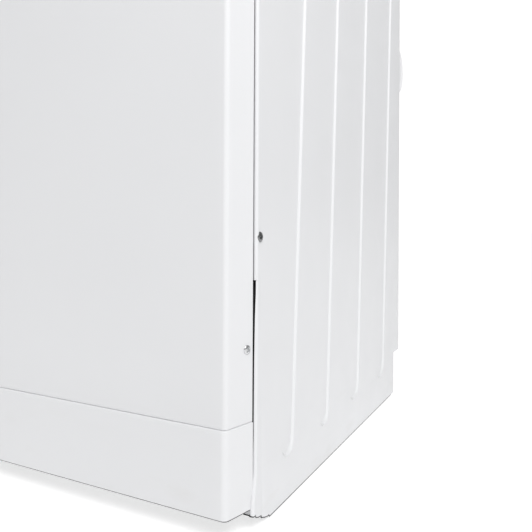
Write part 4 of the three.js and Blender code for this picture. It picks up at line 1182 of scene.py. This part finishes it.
nutShape = {"flange": 6.4 * mm, "bore": 8.5 * mm, "barrel": 12 * mm}
for name in ("right", "left"):
    low, high = corners("drive_nut_" + name)
    centre, radius = (low + high) / 2, (high[0] - low[0]) / 2
    bore, flange, h = nutShape["bore"], nutShape["flange"], high[2] - low[2]
    profile = rounded([(bore, 0), (radius - 0.6 * mm, 0), (radius, 0.6 * mm), (radius, flange - 0.4 * mm),
                       (radius - 0.5 * mm, flange), (nutShape["barrel"], flange),
                       (nutShape["barrel"], h - 0.8 * mm),
                       (nutShape["barrel"] - 0.8 * mm, h), (bore, h)], 0.4 * mm, 2)
    shell = revolve(profile, (centre[0], centre[1], low[2]), "z", 60, True)
    piece("bronze_nut_" + name, [shell], "bronze", "ram", ["drive_nut_" + name])

motorShape = {"ribs": 30, "ribDepth": 1.6 * mm, "sides": 180, "studs": 4, "studCircle": 30 * mm,
              "boxHalf": 18 * mm, "boxLow": 46.6 * mm, "boxHigh": 96.6 * mm}


def motorParts():
    # round can: the radius ripples into cooling ribs between the end bells, then a terminal box on one side
    low, high = corners("motor")
    bottom = low[2]
    radius = (high[1] - low[1]) / 2
    centreX, centreY = low[0] + radius, (low[1] + high[1]) / 2
    profile = rounded([(6 * mm, 0), (radius - 11 * mm, 0), (radius - 10 * mm, 6 * mm),
                       (radius - 3 * mm, 9 * mm),
                       (radius, 13 * mm), (radius, 24 * mm), (radius - 0.8 * mm, 25 * mm),
                       (radius - 0.8 * mm, 29 * mm), (radius, 30 * mm), (radius, 70 * mm), (radius, 100 * mm),
                       (radius - 0.8 * mm, 101 * mm),
                       (radius - 0.8 * mm, 105 * mm), (radius, 106 * mm), (radius, 118 * mm),
                       (radius - 6 * mm, 127 * mm),
                       (19 * mm, 131 * mm), (18 * mm, 138.5 * mm), (16 * mm, 140 * mm), (0.3 * mm, 140 * mm)],
                      1.2 * mm, 3)
    angle = wholeTurn(motorShape["sides"])
    level = profile[:, 1:2]
    ribbed = smooth((level - 30 * mm) / (3 * mm)) * smooth((100 * mm - level) / (3 * mm))
    r = profile[:,
                0:1] - motorShape["ribDepth"] * ribbed * smooth(0.5
                                                                + 1.4 * np.cos(motorShape["ribs"] * angle))
    can = turned(r, level, angle, (centreX, centreY, bottom))
    boxHalf, studCircle = motorShape["boxHalf"], motorShape["studCircle"]
    boxPart = block((radius + centreX - 5 * mm, centreY - boxHalf, bottom + motorShape["boxLow"]),
                    (high[0], centreY + boxHalf, bottom + motorShape["boxHigh"]), 2.5 * mm, 4)
    stud = rounded([(0.2 * mm, 0), (3.2 * mm, 0), (3.2 * mm, 5 * mm), (0.2 * mm, 5 * mm)], 0.6 * mm)
    studs = []
    for a in pi / 4 + wholeTurn(motorShape["studs"]):
        place = (centreX + studCircle * math.cos(a), centreY + studCircle * math.sin(a), bottom + 126 * mm)
        studs.append(revolve(stud, place, "z", 6))
    return [can, boxPart] + studs


piece("ribbed_motor", motorParts(), "motor_iron", "cabinet", ["motor"])
print("ram drive ready")


for node in ("front_roller_right", "front_roller_left", "rear_roller_right", "rear_roller_left"):
    low, high = corners(node)
    centre, r, w = (low + high) / 2, (high[2] - low[2]) / 2, high[0] - low[0]
    section = rounded([(3.5 * mm, 0), (5.2 * mm, 0), (5.6 * mm, 1.4 * mm), (r - 3.2 * mm, 1.4 * mm),
                       (r - 2.6 * mm, 0),
                       (r - 1.0 * mm, 0), (r, 1.2 * mm), (r, w - 1.2 * mm), (r - 1.0 * mm, w),
                       (r - 2.6 * mm, w),
                       (r - 3.2 * mm, w - 1.4 * mm), (5.6 * mm, w - 1.4 * mm), (5.2 * mm, w), (3.5 * mm, w)],
                      0.5 * mm, 3)
    wheel = revolve(section, (low[0], centre[1], centre[2]), "x", 60, True)
    piece("nylon_" + node, [wheel], "roller_plastic", bodyOf[node], [node])

binShape = {"cornerRadius": 14 * mm, "ribPitch": 26 * mm, "ribDepth": 1.1 * mm, "wall": 2.2 * mm,
            "handRow": 13, "handHalf": 45 * mm, "handHigh": 22 * mm, "handLow": 45 * mm}


def binSheet():
    # rounded rectangle rings from the middle of the floor up the walls to a rolled rim; shallow upright
    # ribs ripple the walls, fading out at the floor and the rim
    low, high = corners("bin")
    centre = (low + high) / 2
    halfX, halfY = (high[0] - low[0]) / 2 - 4 * mm, (high[1] - low[1]) / 2 - 4 * mm
    top, floor = high[2], low[2]
    count = 10
    inset = np.concatenate([[100, 60, 20, 9, 5, 2, 0.5], [0, 0, 0, 0, 0, 0, 0, 0, 0, 0],
                            [0, -2.2, -3.6, -4, -4]]) * mm
    handLow, handHigh = top - binShape["handLow"], top - binShape["handHigh"]
    height = np.concatenate([[floor] * 3, [floor, floor + 1 * mm, floor + 3.5 * mm, floor + 8 * mm],
                             [floor + 12 * mm, floor + 20 * mm, floor + 80 * mm, floor + 160 * mm,
                              floor + 240 * mm,
                              handLow - 20 * mm, handLow, handHigh, top - 16 * mm, top - 12 * mm],
                             [top - 1.6 * mm, top, top - 0.6 * mm, top - 3 * mm, top - 10 * mm]])
    sideRun = np.linspace(-1, 1, 49)
    endRun = np.linspace(-1, 1, 33)
    rings = []
    for d, z in zip(inset, height):
        hx, hy = halfX - d, halfY - d
        r = max(min(binShape["cornerRadius"] - d * 0.6, hx * 0.9, hy * 0.9), 2 * mm)
        quarter = np.linspace(0, pi / 2, count)[1:-1]
        fade = smooth((z - floor - 14 * mm) / (14 * mm)) * smooth((top - 50 * mm - z) / (10 * mm)) * (d == 0)
        ripple = binShape["ribDepth"] * fade
        right = np.column_stack([hx
                                 - ripple * (0.5
                                             - 0.5 * np.cos(2 * pi * sideRun * (hy - r)
                                                            / binShape["ribPitch"])),
                                 sideRun * (hy - r)])
        back = np.column_stack([-endRun * (hx - r),
                                hy - ripple * (0.5
                                               - 0.5 * np.cos(2 * pi * endRun * (hx - r)
                                                              / binShape["ribPitch"]))])
        cornerA = np.column_stack([hx - r + r * np.cos(quarter), hy - r + r * np.sin(quarter)])
        cornerB = np.column_stack([-hx + r - r * np.sin(quarter), hy - r + r * np.cos(quarter)])
        halfRing = np.concatenate([right, cornerA, back, cornerB])
        full = np.concatenate([halfRing, -halfRing])
        rings.append(np.column_stack([full + centre[:2], np.full(len(full), z)]))
    rings = np.array(rings)
    handRow = binShape["handRow"]  # the row of faces that the two hand holes are cut from
    wallX = (rings[handRow, :, 0] + np.roll(rings[handRow, :, 0], -1)) / 2
    wallY = (rings[handRow, :, 1] + np.roll(rings[handRow, :, 1], -1)) / 2 - centre[1]
    holes = (np.abs(wallX) < binShape["handHalf"]) & (np.abs(wallY) > halfY - 3 * mm)
    keep = np.ones((rings.shape[0] - 1, rings.shape[1]), bool)
    keep[handRow, holes] = False
    return cappedSheet(rings, 0, [centre[0], centre[1], floor], keep)


piece("ribbed_bin", [binSheet()], "bin_plastic", "drawer", ["bin"], binShape["wall"],
      (0, (corners("bin")[0][1] + corners("bin")[1][1]) / 2, 0.3))

ringShape = {"wide": 8.6 * mm, "thick": 2.2 * mm, "inset": 5 * mm, "cornerRadius": 10 * mm, "drop": 1.3 * mm}
low, high = corners("bag_ring")
centre, size = (low + high) / 2, (high - low) / 2
path = ring(size[0] - ringShape["inset"], size[1] - ringShape["inset"], ringShape["cornerRadius"], centre[:2],
            12)
path = np.column_stack([path, np.full(len(path), high[2] - ringShape["drop"])])
piece("bag_retaining_ring",
      [sweep(ovalSection(ringShape["wide"], ringShape["thick"], 3.5, 20), path, (0, 0, 1), True)],
      "ring_steel", "drawer", ["bag_ring"])
print("rollers, bin and ring ready")


fanShape = {"blades": 7, "tipRadius": 36.5 * mm, "hub": 13 * mm, "pitch": 0.62, "thick": 1.3 * mm,
            "axisX": 59 * mm, "axisRise": 65 * mm}


def fanParts():
    # each blade is a sheet whose twist eases off from hub to tip, copied round a rounded hub
    hubLow = corners("fan_wheel")[0][1]
    centre = np.array([fanShape["axisX"], hubLow, corners("filter_housing")[0][2] + fanShape["axisRise"]])
    hub = revolve(rounded([(0.3 * mm, 0.6 * mm), (8 * mm, 0.2 * mm), (fanShape["hub"] - 0.4 * mm, 1.8 * mm),
                           (fanShape["hub"], 17.4 * mm), (fanShape["hub"] - 0.8 * mm, 18 * mm),
                           (0.3 * mm, 18 * mm)],
                          1.2 * mm, 5), (centre[0], hubLow, centre[2]), "y", 48)
    parts = [hub]
    span = np.linspace(0, 1, 12)[:, None]
    chord = np.linspace(-1, 1, 9)[None]
    radius = fanShape["hub"] - 1.5 * mm + (fanShape["tipRadius"] - fanShape["hub"] + 1.5 * mm) * span
    twist = fanShape["pitch"] + 0.35 * (1 - span)
    length = (6.4 * mm + 2.2 * mm * span) * (1 - 0.10 * span ** 8)
    tangential = length * chord * np.cos(twist)
    axial = 9 * mm + length * chord * np.sin(twist) - 0.9 * mm * chord ** 2
    axial = np.clip(axial, 1.2 * mm, 16.8 * mm)
    for i in range(fanShape["blades"]):
        a = i * 2 * pi / fanShape["blades"] + tangential / np.maximum(radius, 8 * mm)
        sheet = np.stack([centre[0] + radius * np.cos(a), hubLow + axial, centre[2] + radius * np.sin(a)], -1)
        lift = np.array([0, fanShape["thick"] / 2, 0])
        parts.append(tube(np.concatenate([sheet - lift, (sheet + lift)[:, ::-1]], 1)))
    return parts


piece("fan_impeller", fanParts(), "dark_plastic", "fan_wheel", ["fan_wheel"])

low, high = corners("charcoal_filter")
filterShape = {"pleats": 15, "pleatDepth": 5.0 * mm}


def pleatedPad():
    # a pad whose front and back faces fold in and out along its height in rounded zigzags
    count = filterShape["pleats"] * 10 + 1
    z = np.linspace(low[2], high[2], count)[:, None]
    turns = 2 * pi * filterShape["pleats"] * (z - low[2]) / (high[2] - low[2])
    fold = filterShape["pleatDepth"] * (0.5 - 0.5 * np.cos(turns))
    x = np.array([low[0], low[0] + 0.6 * mm, high[0] - 0.6 * mm, high[0], high[0], high[0] - 0.6 * mm,
                  low[0] + 0.6 * mm, low[0]])[None]
    frontFace = low[1] + fold
    backFace = high[1] - filterShape["pleatDepth"] + fold
    y = np.concatenate([frontFace + 0.6 * mm, frontFace, frontFace, frontFace + 0.6 * mm,
                        backFace - 0.6 * mm, backFace, backFace, backFace - 0.6 * mm], 1)
    return tube(np.stack([x + 0 * z, y, z + 0 * x], -1))


piece("pleated_filter", [pleatedPad()], "charcoal_foam", "cabinet", ["charcoal_filter"],
      sharpAngle=60)

low, high = corners("fan_motor")
hubZ = (low[2] + high[2]) / 2
can = revolve(rounded([(0.3 * mm, 0), (15 * mm, 0), (17.6 * mm, 1.6 * mm), (17.6 * mm, 8 * mm),
                       (18 * mm, 8.6 * mm),
                       (18 * mm, 20 * mm), (17.6 * mm, 20.6 * mm), (17.6 * mm, 28.6 * mm),
                       (16.4 * mm, 30 * mm),
                       (0.3 * mm, 30 * mm)], 0.8 * mm, 3), (fanShape["axisX"], low[1], hubZ), "y", 56)
bridge = block((low[0] + 4 * mm, low[1] + 26 * mm, hubZ - 8 * mm), (high[0] - 4 * mm, high[1], hubZ + 8 * mm),
               1.2 * mm)
legs = [block((low[0], low[1] + 12 * mm, hubZ - 8 * mm), (low[0] + 4.4 * mm, high[1], hubZ + 8 * mm),
              1.0 * mm),
        block((high[0] - 4.4 * mm, low[1] + 12 * mm, hubZ - 8 * mm), (high[0], high[1], hubZ + 8 * mm),
              1.0 * mm)]
piece("fan_motor_assembly", [can, bridge] + legs, "dark_plastic", "cabinet", ["fan_motor"])

low, high = corners("cord_inlet")
inletX, inletZ = (low[0] + high[0]) / 2, (low[2] + high[2]) / 2
glandShape = {"bore": 4.6 * mm, "nutRadius": 14 * mm, "nutShare": 0.96}
section = rounded([(glandShape["bore"], low[1]), (9.6 * mm, low[1]), (10 * mm, low[1] + 0.6 * mm),
                   (10 * mm, high[1] - 9.5 * mm),
                   (13 * mm, high[1] - 9.0 * mm), (13 * mm, high[1] - 6.6 * mm),
                   (9.4 * mm, high[1] - 5.6 * mm),
                   (8.2 * mm, high[1] - 0.6 * mm), (7.4 * mm, high[1]), (glandShape["bore"], high[1])],
                  0.5 * mm, 3)
gland = revolve(section, (inletX, 0, inletZ), "y", 48, True)
nut = rounded([(10.05 * mm, low[1] + 0.6 * mm), (13.2 * mm, low[1] + 0.6 * mm),
               (glandShape["nutRadius"], low[1] + 1.4 * mm),
               (glandShape["nutRadius"], low[1] + 12.6 * mm), (13.2 * mm, low[1] + 13.4 * mm),
               (10.05 * mm, low[1] + 13.4 * mm)], 0.3 * mm, 2)
hexNut = revolve(nut * np.array([glandShape["nutShare"], 1]), (inletX, 0, inletZ), "y", 6, True)
piece("cord_gland", [gland, hexNut], "dark_plastic", "cabinet", ["cord_inlet"])

# pressed, folded and cast parts whose shape is already right get eased edges and a real finish
for node in ("base_tray", "front_crossmember", "thrust_beam", "motor_bridge", "ram_carrier", "ram_column",
             "ram_plate", "drawer_back_plate", "drawer_pan", "fixed_rail_right", "fixed_rail_left",
             "moving_rail_right", "moving_rail_left", "filter_housing", "control_housing",
             "top_limit_switch"):
    softened(node)
print("inner parts ready")


studio = {"floorHalf": 30.0, "floorTone": 0.5, "floorGlow": 0.66, "skyLight": 0.32, "skySeen": 1.06,
          "sun": 0.52, "sunTurn": -48, "sunHeight": 48, "sunSoftness": 30,
          "lamps": {"key lamp": ((0.85, -1.15, 1.5), (0.15, -0.3, 0.9), 0.5, 4.6),
                    "side lamp": ((1.3, -0.75, 1.5), (0.19, -0.28, 0.9), 0.5, 6.2)}}


def makeStudio():
    # a wide floor that glows a little, an even sky, a soft sun from the front right and two near lamps
    floorReach = studio["floorHalf"]
    floorMesh = bpy.data.meshes.new("floor")
    cornerPoints = [(x * floorReach, y * floorReach, 0) for x, y in ((-1, -1), (1, -1), (1, 1), (-1, 1))]
    floorMesh.from_pydata(cornerPoints, [], [(0, 1, 2, 3)])
    floor = placed("floor", floorMesh)
    tone = studio["floorTone"]
    material, tree, shader, place = newFinish("studio floor", (tone,) * 3, 0.9)
    tree.links.new(blended(tree, ranged(tree, grain(tree, place, 2.0, 3), 0, 1), (tone,) * 3,
                           (tone * 0.98,) * 3),
                   shader.inputs["Base Color"])
    shader.inputs["Emission Color"].default_value = (1, 1, 1, 1)
    shader.inputs["Emission Strength"].default_value = studio["floorGlow"]
    shader.inputs["Specular IOR Level"].default_value = 0.0
    floorMesh.materials.append(material)
    world = bpy.data.worlds.new("studio")
    bpy.context.scene.world = world
    world.use_nodes = True
    nodes, links = world.node_tree.nodes, world.node_tree.links
    background = nodes["Background"]
    seen, ray = nodes.new("ShaderNodeMapRange"), nodes.new("ShaderNodeLightPath")
    seen.inputs["To Min"].default_value = studio["skyLight"]
    seen.inputs["To Max"].default_value = studio["skySeen"]
    links.new(ray.outputs["Is Camera Ray"], seen.inputs["Value"])
    links.new(seen.outputs["Result"], background.inputs["Strength"])
    background.inputs["Color"].default_value = (1, 1, 1, 1)
    turn, height = math.radians(studio["sunTurn"]), math.radians(studio["sunHeight"])
    sun = bpy.data.lights.new("soft sun", "SUN")
    sun.energy = studio["sun"] * pi
    sun.angle = math.radians(studio["sunSoftness"])
    toward = Vector((math.cos(turn) * math.cos(height), math.sin(turn) * math.cos(height), math.sin(height)))
    aimed(sun, toward * 5, Vector((0, 0, 0)))
    for name, (place, target, size, power) in studio["lamps"].items():
        lamp = bpy.data.lights.new(name, "AREA")
        lamp.size = size
        lamp.energy = power
        aimed(lamp, Vector(place), Vector(target))


def aimed(light, place, target):
    # a light at a place, its beam along the line to the target
    thing = placed(light.name, light)
    thing.location = place
    thing.rotation_euler = (target - place).to_track_quat("-Z", "Y").to_euler()


makeStudio()

view = {"place": (0.4606, -0.7698, 0.3098), "turn": 27.05, "roll": -0.0048, "lens": 39.02, "shiftY": -0.081}
camera = bpy.data.cameras.new("camera")
camera.lens = view["lens"]
camera.sensor_width = 36
camera.shift_y = view["shiftY"]
camera.clip_start = 0.01
cameraThing = placed("camera", camera)
cameraThing.location = view["place"]
cameraThing.rotation_euler = (pi / 2, view["roll"], math.radians(view["turn"]))
bpy.context.scene.camera = cameraThing
bpy.context.scene.view_settings.view_transform = "Standard"
print("studio ready")
